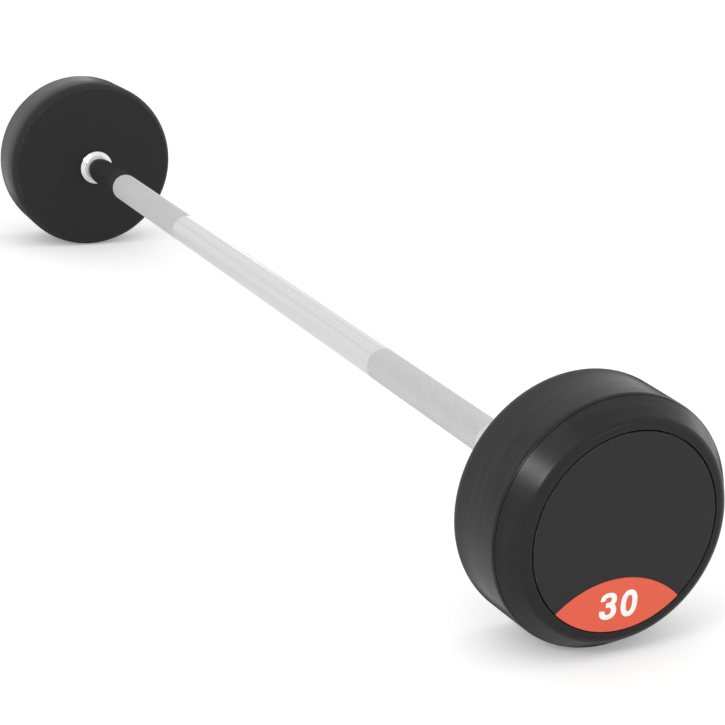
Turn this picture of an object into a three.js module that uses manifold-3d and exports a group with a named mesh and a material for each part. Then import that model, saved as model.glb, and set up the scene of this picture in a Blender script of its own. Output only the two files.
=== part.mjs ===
// A fixed barbell: a chromed steel bar with two knurled grips, and a rubber-clad round head on each end.
// Lengths are in millimetres. X runs along the bar, Z is up, and the origin is the middle of the bar.
// Each head is a cast iron weight in a rubber shell, drawn up to the bar's shoulder by one end screw.

import * as THREE from 'three';
import { mergeVertices } from 'three/addons/utils/BufferGeometryUtils.js';
import Module from 'manifold-3d';

const wasm = await Module();
wasm.setup();

// Overall
const overallLength = 1250;
const seatGap = 0.3;

// Rubber shell
const headWidth = 80;
const rimRadius = 100;
const sideDraft = 1;
const bevelInnerRadius = 86;
const bevelDepth = 20;
const bevelSoftening = 6;
const rollDrop = 5;
const rollDepth = 11;
const sideWall = 11.7;
const rearWall = 6;
const ledgeThickness = 6;

// Cover disc
const coverRadius = 77.7;
const coverThickness = 5;
const coverEdge = 0.4;
const grooveWidth = 0.8;
const spigotRadius = 58;
const spigotWall = 3;
const spigotLength = 5;

// Number label, a lens between the disc's rim and an arc of the same radius
const labelHeight = 42;
const labelThickness = 0.8;
const labelSink = 0.1;

// Bar
const barRadius = 15;
const centreLength = 474;
const knurlLength = 195;
const knurlRise = 0.2;
const knurlRamp = 0.6;
const barEndRadius = 12.5;
const barEndChamfer = 1;
const clampGap = 0.8;
const tappedDepth = 34;

// Collar
const collarRadius = 20;
const collarLength = 14;
const collarChamfer = 1.5;

// Hub bushing and drive key
const bushingRadius = 20;
const bushingChamfer = 0.8;
const keyWidth = 8;
const keyHeight = 7;
const keyLength = 30;
const keyDepthInBar = 4;

// Weight core
const counterboreRadius = 24;
const coreChamfer = 3;

// End screw and its washers
const screwRadius = 6;
const screwLength = 40;
const screwHeadRadius = 9;
const screwHeadHeight = 12;
const screwHeadClearance = 3;
const screwChamfer = 1;
const socketAcrossFlats = 10;
const socketDepth = 6;
const washerRadius = 21;
const washerThickness = 5;
const washerChamfer = 0.6;
const lockWasherRadius = 10.5;
const lockWasherThickness = 3;
const lockWasherSplit = 2;
const screwHoleClearance = 0.5;

// Fineness of the round shapes, and the overrun of every cut
const headSegments = 60;
const hubSegments = 32;
const arcSteps = 4;
const cutOverrun = 2;
const mergeDistance = 0.001;

// Places that follow from the sizes above. A depth is measured inwards from a head's outer face.
const halfLength = overallLength / 2;
const sideRadius = rimRadius + sideDraft;
const cavityRadius = rimRadius - sideWall;
const recessRadius = coverRadius + grooveWidth;
const recessDepth = coverThickness + seatGap;
const cavityFrontDepth = recessDepth + ledgeThickness;
const cavityRearDepth = headWidth - rearWall;
const coreFrontDepth = cavityFrontDepth + seatGap;
const coreRearDepth = cavityRearDepth - seatGap;
const underHeadDepth = coverThickness + screwHeadClearance + screwHeadHeight;
const lockWasherDepth = underHeadDepth + seatGap + lockWasherThickness;
const washerDepth = lockWasherDepth + seatGap + washerThickness;
const hubFaceDepth = washerDepth + seatGap;
const barEndDepth = hubFaceDepth + clampGap;
const keyCentreDepth = (hubFaceDepth + coreRearDepth) / 2;
const keyFloor = barEndRadius - keyDepthInBar;
const labelCentreDrop = 2 * coverRadius - labelHeight;
const labelRecessDepth = labelSink + labelThickness + seatGap;

// Finishes
const finishes = {
  rubber: { color: 0x3d3d3e, roughness: 0.72, metalness: 0 },
  cover: { color: 0x39393a, roughness: 0.82, metalness: 0 },
  label: { color: 0xe8604a, roughness: 0.5, metalness: 0 },
  chrome: { color: 0xd9dbde, roughness: 0.1, metalness: 1 },
  castIron: { color: 0x4a4947, roughness: 0.78, metalness: 0.6 },
  turnedSteel: { color: 0x9a9ca0, roughness: 0.35, metalness: 1 },
  zinc: { color: 0xb9bcc2, roughness: 0.4, metalness: 1 },
  blackOxide: { color: 0x26272a, roughness: 0.5, metalness: 0.8 },
};

// A named piece with its finish. Its height is its place along the turning axis.
function piece(name, geometry, finish, height = 0) {
  const material = new THREE.MeshStandardMaterial({ ...finish, flatShading: true });
  const mesh = new THREE.Mesh(geometry, material);
  mesh.name = name;
  mesh.position.y = height;
  return mesh;
}

// A turned shape. The profile is a list of [radius, height] points that ends on the axis or closes on itself.
// A flat of the many-sided round lies at the very bottom, so that the heads rest on it.
function turned(profile, segments) {
  const points = profile.map(([radius, height]) => new THREE.Vector2(radius, height));
  return new THREE.LatheGeometry(points, segments, Math.PI / segments);
}

// A turned ring: the given profile, closed on its first point.
function turnedRing(profile, segments) {
  return turned([...profile, profile[0]], segments);
}

// The points of a round corner of the given radius in a profile, between the points before and after it.
function roundCorner(before, corner, after, radius, steps) {
  const at = new THREE.Vector2(...corner);
  const back = new THREE.Vector2(...before).sub(at).normalize();
  const ahead = new THREE.Vector2(...after).sub(at).normalize();
  const halfAngle = Math.acos(back.dot(ahead)) / 2;
  const inward = back.clone().add(ahead).normalize();
  const centre = at.clone().addScaledVector(inward, radius / Math.sin(halfAngle));
  const start = at.clone().addScaledVector(back, radius / Math.tan(halfAngle)).sub(centre);
  const end = at.clone().addScaledVector(ahead, radius / Math.tan(halfAngle)).sub(centre);
  const turn = Math.atan2(start.cross(end), start.dot(end));
  const points = [];
  for (let i = 0; i <= steps; i += 1) {
    const spoke = start.clone().rotateAround(new THREE.Vector2(), (turn * i) / steps);
    points.push([centre.x + spoke.x, centre.y + spoke.y]);
  }
  return points;
}

// A closed geometry as a solid that can be cut.
function toSolid(geometry) {
  const bare = geometry.clone();
  bare.deleteAttribute('normal');
  bare.deleteAttribute('uv');
  const merged = mergeVertices(bare, mergeDistance);
  const corners = merged.index.array;
  const triangles = [];
  for (let i = 0; i < corners.length; i += 3) {
    const [a, b, c] = [corners[i], corners[i + 1], corners[i + 2]];
    if (a !== b && b !== c && c !== a) {
      triangles.push(a, b, c);
    }
  }
  const vertProperties = merged.attributes.position.array;
  const triVerts = Uint32Array.from(triangles);
  return new wasm.Manifold(new wasm.Mesh({ numProp: 3, vertProperties, triVerts }));
}

// What is left of a geometry once the cutters have been taken out of it.
function cut(geometry, cutters) {
  const solid = cutters.reduce((rest, cutter) => rest.subtract(toSolid(cutter)), toSolid(geometry));
  const mesh = solid.getMesh();
  const result = new THREE.BufferGeometry();
  result.setAttribute('position', new THREE.BufferAttribute(mesh.vertProperties, mesh.numProp));
  result.setIndex(new THREE.BufferAttribute(mesh.triVerts, 1));
  return result;
}

// A bar of the key's round-ended outline, grown all round by a margin, from one height above the axis to another.
// It lies along the turning axis, with its middle at the given place there.
function keyBlock(margin, centre, bottom, top) {
  const halfWidth = keyWidth / 2 + margin;
  const halfStraight = (keyLength - keyWidth) / 2;
  const outline = new THREE.Shape();
  outline.absarc(0, halfStraight, halfWidth, 0, Math.PI, false);
  outline.absarc(0, -halfStraight, halfWidth, Math.PI, 2 * Math.PI, false);
  const block = new THREE.ExtrudeGeometry(outline, {
    depth: top - bottom,
    bevelEnabled: false,
    curveSegments: 2 * arcSteps,
  });
  block.translate(0, centre, bottom);
  return block;
}

// A lens below the axis, between a lower arc about the axis and an upper arc about a point further down.
// It is as thick as the given depth, and its outer face is at height zero.
function lens(lowerRadius, upperRadius, depth) {
  const drop = labelCentreDrop;
  const tipHeight = (upperRadius ** 2 - lowerRadius ** 2 - drop ** 2) / (2 * drop);
  const tipOffset = Math.sqrt(lowerRadius ** 2 - tipHeight ** 2);
  const lowerTip = Math.atan2(tipHeight, tipOffset);
  const upperTip = Math.atan2(tipHeight + drop, tipOffset);
  const outline = new THREE.Shape();
  outline.absarc(0, 0, lowerRadius, -Math.PI - lowerTip, lowerTip, false);
  outline.absarc(0, -drop, upperRadius, upperTip, Math.PI - upperTip, false);
  const solid = new THREE.ExtrudeGeometry(outline, {
    depth,
    bevelEnabled: false,
    curveSegments: 4 * arcSteps,
  });
  solid.rotateX(Math.PI / 2);
  return solid;
}

// The solid bar: a smooth centre, two knurled grips, plain polished ends, and a turned-down, tapped end in each head.
function bar() {
  const knurlRadius = barRadius + knurlRise;
  const knurlStart = centreLength / 2;
  const knurlEnd = knurlStart + knurlLength;
  const shoulder = halfLength - cavityRearDepth;
  const tip = halfLength - barEndDepth;
  const halfProfile = [
    [barRadius, knurlStart - knurlRamp],
    [knurlRadius, knurlStart],
    [knurlRadius, knurlEnd],
    [barRadius, knurlEnd + knurlRamp],
    [barRadius, shoulder],
    [barEndRadius, shoulder],
    [barEndRadius, tip - barEndChamfer],
    [barEndRadius - barEndChamfer, tip],
    [screwRadius + seatGap, tip],
    [screwRadius + seatGap, tip - tappedDepth],
    [0, tip - tappedDepth],
  ];
  const mirrored = halfProfile.map(([radius, height]) => [radius, -height]).reverse();
  const blank = turned([...mirrored, ...halfProfile], hubSegments);
  const keyPlace = halfLength - keyCentreDepth;
  const keyways = [keyPlace, -keyPlace].map((place) =>
    keyBlock(seatGap, place, keyFloor - seatGap, barRadius + cutOverrun));
  return cut(blank, keyways);
}

// The chromed ring on the bar that closes the head's inner face. Its height zero is that face.
function collar() {
  const bore = barRadius + seatGap;
  return turnedRing([
    [bore, -collarLength - seatGap],
    [collarRadius - collarChamfer, -collarLength - seatGap],
    [collarRadius, -collarLength - seatGap + collarChamfer],
    [collarRadius, -seatGap],
    [bore, -seatGap],
  ], hubSegments);
}

// The rubber shell, moulded round the weight, with a stepped recess for the cover disc.
function rubberShell() {
  const bore = barRadius + seatGap;
  const ledgeRadius = spigotRadius + seatGap;
  // The rear edge rolls over from the side and meets the inner face at a crease.
  const rollAngle = 2 * Math.atan(rollDrop / rollDepth);
  const rollRadius = rollDepth / Math.sin(rollAngle);
  const rearRoll = [];
  for (let i = arcSteps; i >= 0; i -= 1) {
    const angle = (rollAngle * i) / arcSteps;
    const radius = sideRadius - rollRadius * (1 - Math.cos(angle));
    rearRoll.push([radius, rollDepth - headWidth - rollRadius * Math.sin(angle)]);
  }
  const bevelEdge = [rimRadius, -bevelDepth];
  const bevelCorner = [bevelInnerRadius, 0];
  const recessLip = [recessRadius, 0];
  return turnedRing([
    [bore, -headWidth],
    ...rearRoll,
    bevelEdge,
    ...roundCorner(bevelEdge, bevelCorner, recessLip, bevelSoftening, arcSteps),
    recessLip,
    [recessRadius, -recessDepth],
    [ledgeRadius, -recessDepth],
    [ledgeRadius, -cavityFrontDepth],
    [cavityRadius, -cavityFrontDepth],
    [cavityRadius, -cavityRearDepth],
    [bore, -cavityRearDepth],
  ], headSegments);
}

// The cast iron weight, bored for the hub bushing and counterbored for the end washer.
function weightCore() {
  const coreRadius = cavityRadius - seatGap;
  const bore = bushingRadius + seatGap;
  return turnedRing([
    [bore, -coreRearDepth],
    [coreRadius - coreChamfer, -coreRearDepth],
    [coreRadius, -coreRearDepth + coreChamfer],
    [coreRadius, -coreFrontDepth - coreChamfer],
    [coreRadius - coreChamfer, -coreFrontDepth],
    [counterboreRadius, -coreFrontDepth],
    [counterboreRadius, -hubFaceDepth],
    [bore, -hubFaceDepth],
  ], headSegments);
}

// The steel bushing in the weight, with a keyway broached along its whole length.
function hubBushing() {
  const bore = barEndRadius + seatGap;
  const blank = turnedRing([
    [bore, -coreRearDepth],
    [bushingRadius - bushingChamfer, -coreRearDepth],
    [bushingRadius, -coreRearDepth + bushingChamfer],
    [bushingRadius, -hubFaceDepth - bushingChamfer],
    [bushingRadius - bushingChamfer, -hubFaceDepth],
    [bore, -hubFaceDepth],
  ], hubSegments);
  const keywayTop = keyFloor + keyHeight + seatGap;
  const keyway = new THREE.BoxGeometry(
    keyWidth + 2 * seatGap,
    coreRearDepth - hubFaceDepth + 2 * cutOverrun,
    keywayTop,
  );
  keyway.translate(0, -keyCentreDepth, keywayTop / 2);
  return cut(blank, [keyway]);
}

// The round-ended key that stops the head turning on the bar.
function driveKey() {
  return keyBlock(0, -keyCentreDepth, keyFloor, keyFloor + keyHeight);
}

// The thick washer that clamps the bushing and the weight. Its height zero is its inner face.
function endWasher() {
  const bore = screwRadius + screwHoleClearance;
  return turnedRing([
    [bore, 0],
    [washerRadius - washerChamfer, 0],
    [washerRadius, washerChamfer],
    [washerRadius, washerThickness - washerChamfer],
    [washerRadius - washerChamfer, washerThickness],
    [bore, washerThickness],
  ], hubSegments);
}

// The split spring washer under the screw's head, a ring with a narrow slot across it.
function lockWasher() {
  const bore = screwRadius + screwHoleClearance;
  const outerHalfSplit = Math.asin(lockWasherSplit / 2 / lockWasherRadius);
  const innerHalfSplit = Math.asin(lockWasherSplit / 2 / bore);
  const outline = new THREE.Shape();
  outline.absarc(0, 0, lockWasherRadius, outerHalfSplit, 2 * Math.PI - outerHalfSplit, false);
  outline.absarc(0, 0, bore, 2 * Math.PI - innerHalfSplit, innerHalfSplit, true);
  return new THREE.ExtrudeGeometry(outline, {
    depth: lockWasherThickness,
    bevelEnabled: false,
    curveSegments: hubSegments,
  });
}

// The cap screw, with a hexagon socket. Its height zero is the underside of its head.
function endScrew() {
  const blank = turned([
    [0, -screwLength],
    [screwRadius - screwChamfer, -screwLength],
    [screwRadius, screwChamfer - screwLength],
    [screwRadius, 0],
    [screwHeadRadius, 0],
    [screwHeadRadius, screwHeadHeight - screwChamfer],
    [screwHeadRadius - screwChamfer, screwHeadHeight],
    [0, screwHeadHeight],
  ], hubSegments);
  const cornerRadius = socketAcrossFlats / Math.sqrt(3);
  const socket = new THREE.CylinderGeometry(cornerRadius, cornerRadius, socketDepth + cutOverrun, 6);
  socket.translate(0, screwHeadHeight + (cutOverrun - socketDepth) / 2, 0);
  return cut(blank, [socket]);
}

// The cover disc, with a spigot ring on its back and a shallow lens-shaped bed for the label.
function coverDisc() {
  const spigotDepth = coverThickness + spigotLength;
  const blank = turned([
    [0, -coverThickness],
    [spigotRadius - spigotWall, -coverThickness],
    [spigotRadius - spigotWall, -spigotDepth],
    [spigotRadius, -spigotDepth],
    [spigotRadius, -coverThickness],
    [coverRadius, -coverThickness],
    [coverRadius, -coverEdge],
    [coverRadius - coverEdge, 0],
    [0, 0],
  ], headSegments);
  const bed = lens(coverRadius + cutOverrun, coverRadius + seatGap, labelRecessDepth + cutOverrun);
  bed.translate(0, cutOverrun, 0);
  return cut(blank, [bed]);
}

// The thin label that carries the weight's number.
function numberLabel() {
  return lens(coverRadius, coverRadius, labelThickness);
}

// One complete head with its collar. Its own height zero is its outer face, and heights grow outwards.
function head(side) {
  const group = new THREE.Group();
  const split = piece(`${side}_lock_washer`, lockWasher(), finishes.zinc, -lockWasherDepth);
  split.rotation.x = -Math.PI / 2;
  group.add(
    piece(`${side}_collar`, collar(), finishes.chrome, -headWidth),
    piece(`${side}_rubber_shell`, rubberShell(), finishes.rubber),
    piece(`${side}_weight_core`, weightCore(), finishes.castIron),
    piece(`${side}_hub_bushing`, hubBushing(), finishes.turnedSteel),
    piece(`${side}_drive_key`, driveKey(), finishes.turnedSteel),
    piece(`${side}_end_washer`, endWasher(), finishes.zinc, -washerDepth),
    split,
    piece(`${side}_end_screw`, endScrew(), finishes.blackOxide, -underHeadDepth),
    piece(`${side}_cover_disc`, coverDisc(), finishes.cover),
    piece(`${side}_number_label`, numberLabel(), finishes.label, -labelSink),
  );
  return group;
}

const barbell = new THREE.Group();

const steelBar = piece('bar', bar(), finishes.chrome);
steelBar.rotation.z = -Math.PI / 2;
barbell.add(steelBar);

const rightHead = head('right');
rightHead.position.x = halfLength;
rightHead.rotation.z = -Math.PI / 2;
barbell.add(rightHead);

const leftHead = head('left');
leftHead.position.x = -halfLength;
leftHead.rotation.z = Math.PI / 2;
barbell.add(leftHead);

export default barbell;
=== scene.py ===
"""The looks of a fixed barbell: a knurled chrome bar between two rubber-clad heads.

Lengths are in metres. X runs along the bar, Z is up, and the origin is the middle of the bar.
A depth is measured inwards from a head's outer face, and a radius from the bar's axis.
"""

import logging
import math
from collections.abc import Sequence
from dataclasses import dataclass
from enum import Enum
from functools import cache

import bmesh
import bpy
from mathutils import Matrix, Vector


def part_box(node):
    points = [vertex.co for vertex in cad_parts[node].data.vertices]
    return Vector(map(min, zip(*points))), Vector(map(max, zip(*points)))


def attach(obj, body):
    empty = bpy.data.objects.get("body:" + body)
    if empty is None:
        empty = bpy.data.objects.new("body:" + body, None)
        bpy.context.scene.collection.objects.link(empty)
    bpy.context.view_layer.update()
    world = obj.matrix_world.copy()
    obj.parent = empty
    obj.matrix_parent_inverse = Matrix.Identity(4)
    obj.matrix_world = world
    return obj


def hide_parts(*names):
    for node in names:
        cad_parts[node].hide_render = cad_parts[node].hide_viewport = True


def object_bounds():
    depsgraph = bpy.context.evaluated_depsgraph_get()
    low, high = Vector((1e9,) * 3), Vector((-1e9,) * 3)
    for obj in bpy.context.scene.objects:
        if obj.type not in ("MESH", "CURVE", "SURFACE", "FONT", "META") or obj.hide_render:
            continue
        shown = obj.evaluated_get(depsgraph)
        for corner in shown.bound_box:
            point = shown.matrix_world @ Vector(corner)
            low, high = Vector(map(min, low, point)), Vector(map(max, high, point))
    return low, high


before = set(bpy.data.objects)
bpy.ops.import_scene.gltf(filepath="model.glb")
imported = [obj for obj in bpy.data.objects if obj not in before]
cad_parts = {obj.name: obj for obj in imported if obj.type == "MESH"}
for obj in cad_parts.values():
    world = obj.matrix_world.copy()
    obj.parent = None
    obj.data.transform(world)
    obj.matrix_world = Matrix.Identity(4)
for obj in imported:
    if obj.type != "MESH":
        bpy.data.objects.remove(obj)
cad_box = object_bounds()

Colour = tuple[float, float, float]
Point2 = tuple[float, float]
Socket = bpy.types.NodeSocket
Outputs = bpy.types.NodeOutputs
NodeInput = Socket | float | int | bool | str | tuple | bpy.types.ID
Inputs = dict[int | str, NodeInput]

ROOT = "root"
SHADER_TREE = "ShaderNodeTree"
GEOMETRY_TREE = "GeometryNodeTree"
# Edge attribute: real edge wear, and on the rubber's rear crease a painted highlight
EDGE_ATTRIBUTE = "edge_wear"
KNURL_ATTRIBUTE = "knurled"
SMOOTH_ANGLE = math.radians(28)
MERGE_DISTANCE = 1e-6
HOLD_DISTANCE = 3e-5
CRISP_FILLET = 0.0025
WEAR_AND_HIGHLIGHT_FADE = 0.0008
COARSE_ROUND = 3
FINE_ROUND = 4
WHITE = (1.0, 1.0, 1.0, 1.0)

KNURL_INPUTS = {
    "Columns": "Int",
    "Rows": "Int",
    "Floor Radius": "Float",
    "Crest Height": "Float",
    "Crest Share": "Float",
}

# Where each pattern of noise starts to show, and where it shows in full
WORN_AND_HIGHLIT_PATCHES = (0.35, 0.7)
SCUFF_LINES = (0.62, 0.76)
SCUFF_PATCHES = (0.45, 0.7)
SMUDGES = (0.35, 0.85)
DUSTY_SLOPES = (0.2, 1.0)
TURNED_AWAY = (0.8, 1.0)

# Sizes and strength of the wear, and of the painted highlight on the rubber's rear crease
WEAR_AND_HIGHLIGHT_PATCH = 0.006
SCUFF_WIDTH = 0.0006
SCUFF_PATCH = 0.05
SMUDGE_WIDTH = 0.007
SMUDGE_LENGTH = 0.06
SMUDGE_DULLING = 0.5
DUST_CLOUD = 0.03
DUST_COLOUR = (0.5, 0.49, 0.47)

log = logging.getLogger("barbell")


class Side(Enum):
    """The two ends of the bar, with the direction in which each head faces along X."""

    RIGHT = ("right", 1)
    LEFT = ("left", -1)

    @property
    def word(self) -> str:
        """The word that begins the names of this side's pieces."""
        return self.value[0]

    @property
    def outward(self) -> int:
        """Plus one where the head faces towards +X, and minus one where it faces towards -X."""
        return self.value[1]


class Canvas:
    """A node tree with short calls that add nodes and join them."""

    def __init__(self, tree: bpy.types.NodeTree) -> None:
        """Starts on a shader or geometry tree."""
        self.tree = tree

    def add(self, kind: str, inputs: Inputs | None = None, **settings: NodeInput) -> bpy.types.Node:
        """Adds one node.

        Args:
            kind: Blender's name for the node's type.
            inputs: Values or output sockets for its inputs, by name or by index.
            **settings: The node's own options.

        Returns:
            The new node.
        """
        node = self.tree.nodes.new(kind)
        for name, value in settings.items():
            setattr(node, name, value)
        for key, value in (inputs or {}).items():
            self.feed(node.inputs[key], value)
        return node

    def feed(self, socket: Socket, value: NodeInput) -> None:
        """Sets an input to a value, or joins an output to it.

        Args:
            socket: The input.
            value: A plain value, or another node's output.
        """
        if isinstance(value, Socket):
            self.tree.links.new(value, socket)
        else:
            socket.default_value = value

    def group(self, tree: bpy.types.NodeTree, inputs: Inputs) -> Outputs:
        """Adds a group node with its named inputs, and gives its outputs."""
        return self.add(tree.bl_idname.replace("Tree", "Group"), inputs, node_tree=tree).outputs

    def math(self, operation: str, *values: NodeInput, clamp: bool = False) -> Socket:
        """Adds a sum on one, two or three values, kept between zero and one where it is clamped."""
        settings = {"operation": operation, "use_clamp": clamp}
        return self.add("ShaderNodeMath", dict(enumerate(values)), **settings).outputs[0]

    def product(self, *factors: NodeInput, clamp: bool = False) -> Socket:
        """Multiplies two or more values.

        Args:
            *factors: The values.
            clamp: Whether the result is kept between zero and one.

        Returns:
            The result's socket.
        """
        result = factors[0]
        for factor in factors[1:-1]:
            result = self.math("MULTIPLY", result, factor)
        return self.math("MULTIPLY", result, factors[-1], clamp=clamp)

    def split(self, vector: Socket) -> Outputs:
        """The parts X, Y and Z of a vector."""
        return self.add("ShaderNodeSeparateXYZ", {"Vector": vector}).outputs

    def vector(self, **parts: NodeInput) -> Socket:
        """A vector made of its parts X, Y and Z."""
        return self.add("ShaderNodeCombineXYZ", parts).outputs[0]

    def ring_radius(self, parts: Outputs) -> Socket:
        """A point's distance from the bar's axis, from the point's parts."""
        return self.math("SQRT", self.math("ADD", *[self.product(parts[axis], parts[axis]) for axis in "YZ"]))

    def noise(self, vector: Socket, detail: float, size: Socket | None = None, **more: NodeInput) -> Socket:
        """Adds a noise pattern.

        Args:
            vector: Where the pattern is read.
            detail: How much finer detail it has.
            size: The size of its shapes, unless the vector is already measured in it.
            **more: Its other inputs. One named W adds a fourth direction.

        Returns:
            The pattern's socket, from zero to one.
        """
        scale = 1.0 if size is None else self.math("DIVIDE", 1.0, size)
        inputs = {"Vector": vector, "Scale": scale, "Detail": detail, **more}
        dimensions = "4D" if "W" in more else "3D"
        return self.add("ShaderNodeTexNoise", inputs, noise_dimensions=dimensions).outputs["Fac"]

    def between(self, value: NodeInput, bottom: NodeInput, top: NodeInput) -> Socket:
        """A value that goes straight from a bottom to a top, as another goes from zero to one."""
        return self.add("ShaderNodeMapRange", {"Value": value, "To Min": bottom, "To Max": top}).outputs[0]

    def ease(
        self, value: NodeInput, start: float, end: float, bottom: float = 0.0, top: float = 1.0
    ) -> Socket:
        """Goes smoothly from a bottom to a top as a value goes from a start to an end.

        Args:
            value: The value.
            start: Where the result leaves the bottom.
            end: Where it reaches the top.
            bottom: The result before the start.
            top: The result past the end.

        Returns:
            The result's socket.
        """
        inputs = {"Value": value, "From Min": start, "From Max": end, "To Min": bottom, "To Max": top}
        return self.add("ShaderNodeMapRange", inputs, interpolation_type="SMOOTHSTEP").outputs[0]

    def blend(self, mask: NodeInput, first: NodeInput, second: NodeInput) -> Socket:
        """Mixes two colours.

        Args:
            mask: Zero for the first colour and one for the second.
            first: The first colour, as three numbers or a socket.
            second: The second colour, as three numbers or a socket.

        Returns:
            The mixed colour's socket.
        """
        node = self.add("ShaderNodeMix", data_type="RGBA")
        for index, value in ((0, mask), (6, first), (7, second)):
            self.feed(node.inputs[index], (*value, 1.0) if isinstance(value, tuple) else value)
        return node.outputs[2]

    def waver(self, mask: Socket, colour: Colour, share: float) -> Socket:
        """A colour that gets darker and paler by a share of itself, as a mask goes from zero to one."""
        darker, paler = (tuple(part * (1 + sign * share) for part in colour) for sign in (-1, 1))
        return self.blend(mask, darker, paler)

    def place(self) -> Socket:
        """The place of the surface's point in its object."""
        return self.add("ShaderNodeTexCoord").outputs["Object"]


def new_group(
    name: str, kind: str, inputs: dict[str, str], outputs: dict[str, str]
) -> tuple[Canvas, Outputs, bpy.types.NodeInputs]:
    """Starts a node group with named inputs and outputs.

    Args:
        name: The group's name.
        kind: SHADER_TREE or GEOMETRY_TREE.
        inputs: The kind of socket for each named input.
        outputs: The kind of socket for each named output.

    Returns:
        The canvas on the group's tree, what is given to the group, and what it puts out.
    """
    tree = bpy.data.node_groups.new(name, kind)
    for direction, sockets in (("INPUT", inputs), ("OUTPUT", outputs)):
        for label, socket in sockets.items():
            tree.interface.new_socket(name=label, in_out=direction, socket_type=f"NodeSocket{socket}")
    return Canvas(tree), tree.nodes.new("NodeGroupInput").outputs, tree.nodes.new("NodeGroupOutput").inputs


def new_pattern(
    name: str, vectors: str, sizes: str, outputs: str
) -> tuple[Canvas, Outputs, bpy.types.NodeInputs]:
    """Starts a shader group that puts out plain values.

    Args:
        name: The group's name.
        vectors: The names of its vector inputs, with commas between them.
        sizes: The names of its number inputs, with commas between them.
        outputs: The names of its outputs, with commas between them.

    Returns:
        The canvas on the group's tree, what is given to the group, and what it puts out.
    """
    inputs = dict.fromkeys(vectors.split(", "), "Vector") | dict.fromkeys(sizes.split(", "), "Float")
    return new_group(name, SHADER_TREE, inputs, dict.fromkeys(outputs.split(", "), "Float"))


@cache
def grain_group() -> bpy.types.NodeTree:
    """Builds the skin of a moulded or cast surface.

    Returns:
        A group that gives the height of a fine grain, and a fleck that varies slowly over the piece.
    """
    canvas, given, end = new_pattern("surface_grain", "Vector", "Grain Size, Fleck Size", "Height, Fleck")
    canvas.feed(end["Height"], canvas.noise(given["Vector"], detail=3.0, size=given["Grain Size"]))
    canvas.feed(end["Fleck"], canvas.noise(given["Vector"], detail=5.0, size=given["Fleck Size"]))
    return canvas.tree


@cache
def rubbed_edge_and_highlight_group() -> bpy.types.NodeTree:
    """Builds the wear along edges, which on the rubber's rear crease is also a painted highlight.

    Returns:
        A group that breaks up a piece's edge attribute with noise into a mask of rubbed places, and of the
        painted highlight on the rubber's rear crease.
    """
    canvas, given, end = new_pattern("edge_wear", "Vector", "Edge, Patch Size, Amount", "Mask")
    patches = canvas.ease(canvas.noise(given["Vector"], detail=6.0, size=given["Patch Size"]), *WORN_AND_HIGHLIT_PATCHES)
    canvas.feed(end["Mask"], canvas.product(patches, given["Edge"], given["Amount"], clamp=True))
    return canvas.tree


@cache
def scuff_group() -> bpy.types.NodeTree:
    """Builds faint rub marks that run round the bar's axis, as a head gets from rolling on a rack or floor.

    Returns:
        A group that gives a mask of the marks, in patches.
    """
    canvas, given, end = new_pattern("rolling_scuffs", "Vector", "Mark Width, Patch Size, Amount", "Mask")
    parts = canvas.split(given["Vector"])
    radius = canvas.ring_radius(parts)
    across, outwards = (canvas.math("DIVIDE", value, given["Mark Width"]) for value in (parts["X"], radius))
    spoke = [canvas.math("DIVIDE", parts[axis], radius) for axis in "YZ"]
    lines = canvas.noise(canvas.vector(X=across, Y=outwards, Z=spoke[0]), detail=3.0, W=spoke[1])
    patches = canvas.noise(given["Vector"], detail=2.0, size=given["Patch Size"])
    marks = canvas.product(canvas.ease(lines, *SCUFF_LINES), canvas.ease(patches, *SCUFF_PATCHES))
    canvas.feed(end["Mask"], canvas.product(marks, given["Amount"], clamp=True))
    return canvas.tree


@cache
def smudge_group() -> bpy.types.NodeTree:
    """Builds the paler smudges that handling leaves on a head's side, drawn out round the bar's axis.

    Returns:
        A group that gives the smudges' mask, which fades out on the flat faces.
    """
    canvas, given, end = new_pattern("rubber_smudges", "Vector, Normal", "Width, Length, Amount", "Mask")
    parts = canvas.split(given["Vector"])
    across = canvas.math("DIVIDE", parts["X"], given["Width"])
    around = [canvas.math("DIVIDE", parts[axis], given["Length"]) for axis in "YZ"]
    drawn = canvas.vector(X=across, Y=around[0], Z=around[1])
    smudges = canvas.ease(canvas.noise(drawn, detail=2.0, Roughness=0.5, Distortion=0.2), *SMUDGES)
    sideways = canvas.math("SUBTRACT", 1.0, canvas.math("ABSOLUTE", canvas.split(given["Normal"])["X"]))
    canvas.feed(end["Mask"], canvas.product(smudges, sideways, given["Amount"], clamp=True))
    return canvas.tree


@cache
def dust_group() -> bpy.types.NodeTree:
    """Builds a thin film of dust on whatever faces upwards.

    Returns:
        A group that gives the dust's mask.
    """
    canvas, given, end = new_pattern("dust_film", "Vector, Normal", "Cloud Size, Amount", "Mask")
    upward = canvas.ease(canvas.split(given["Normal"])["Z"], *DUSTY_SLOPES)
    clouds = canvas.noise(given["Vector"], detail=8.0, size=given["Cloud Size"])
    canvas.feed(end["Mask"], canvas.product(upward, clouds, given["Amount"], clamp=True))
    return canvas.tree


@cache
def turning_group() -> bpy.types.NodeTree:
    """Builds the fine rings that a lathe leaves round the bar's axis.

    Returns:
        A group that gives the rings' height.
    """
    canvas, given, end = new_pattern("turning_rings", "Vector", "Pitch", "Height")
    parts = canvas.split(given["Vector"])
    runs = (parts["X"], canvas.ring_radius(parts))
    along, outwards = (canvas.math("DIVIDE", run, given["Pitch"]) for run in runs)
    canvas.feed(end["Height"], canvas.noise(canvas.vector(X=along, Y=outwards), detail=2.0))
    return canvas.tree


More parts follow.
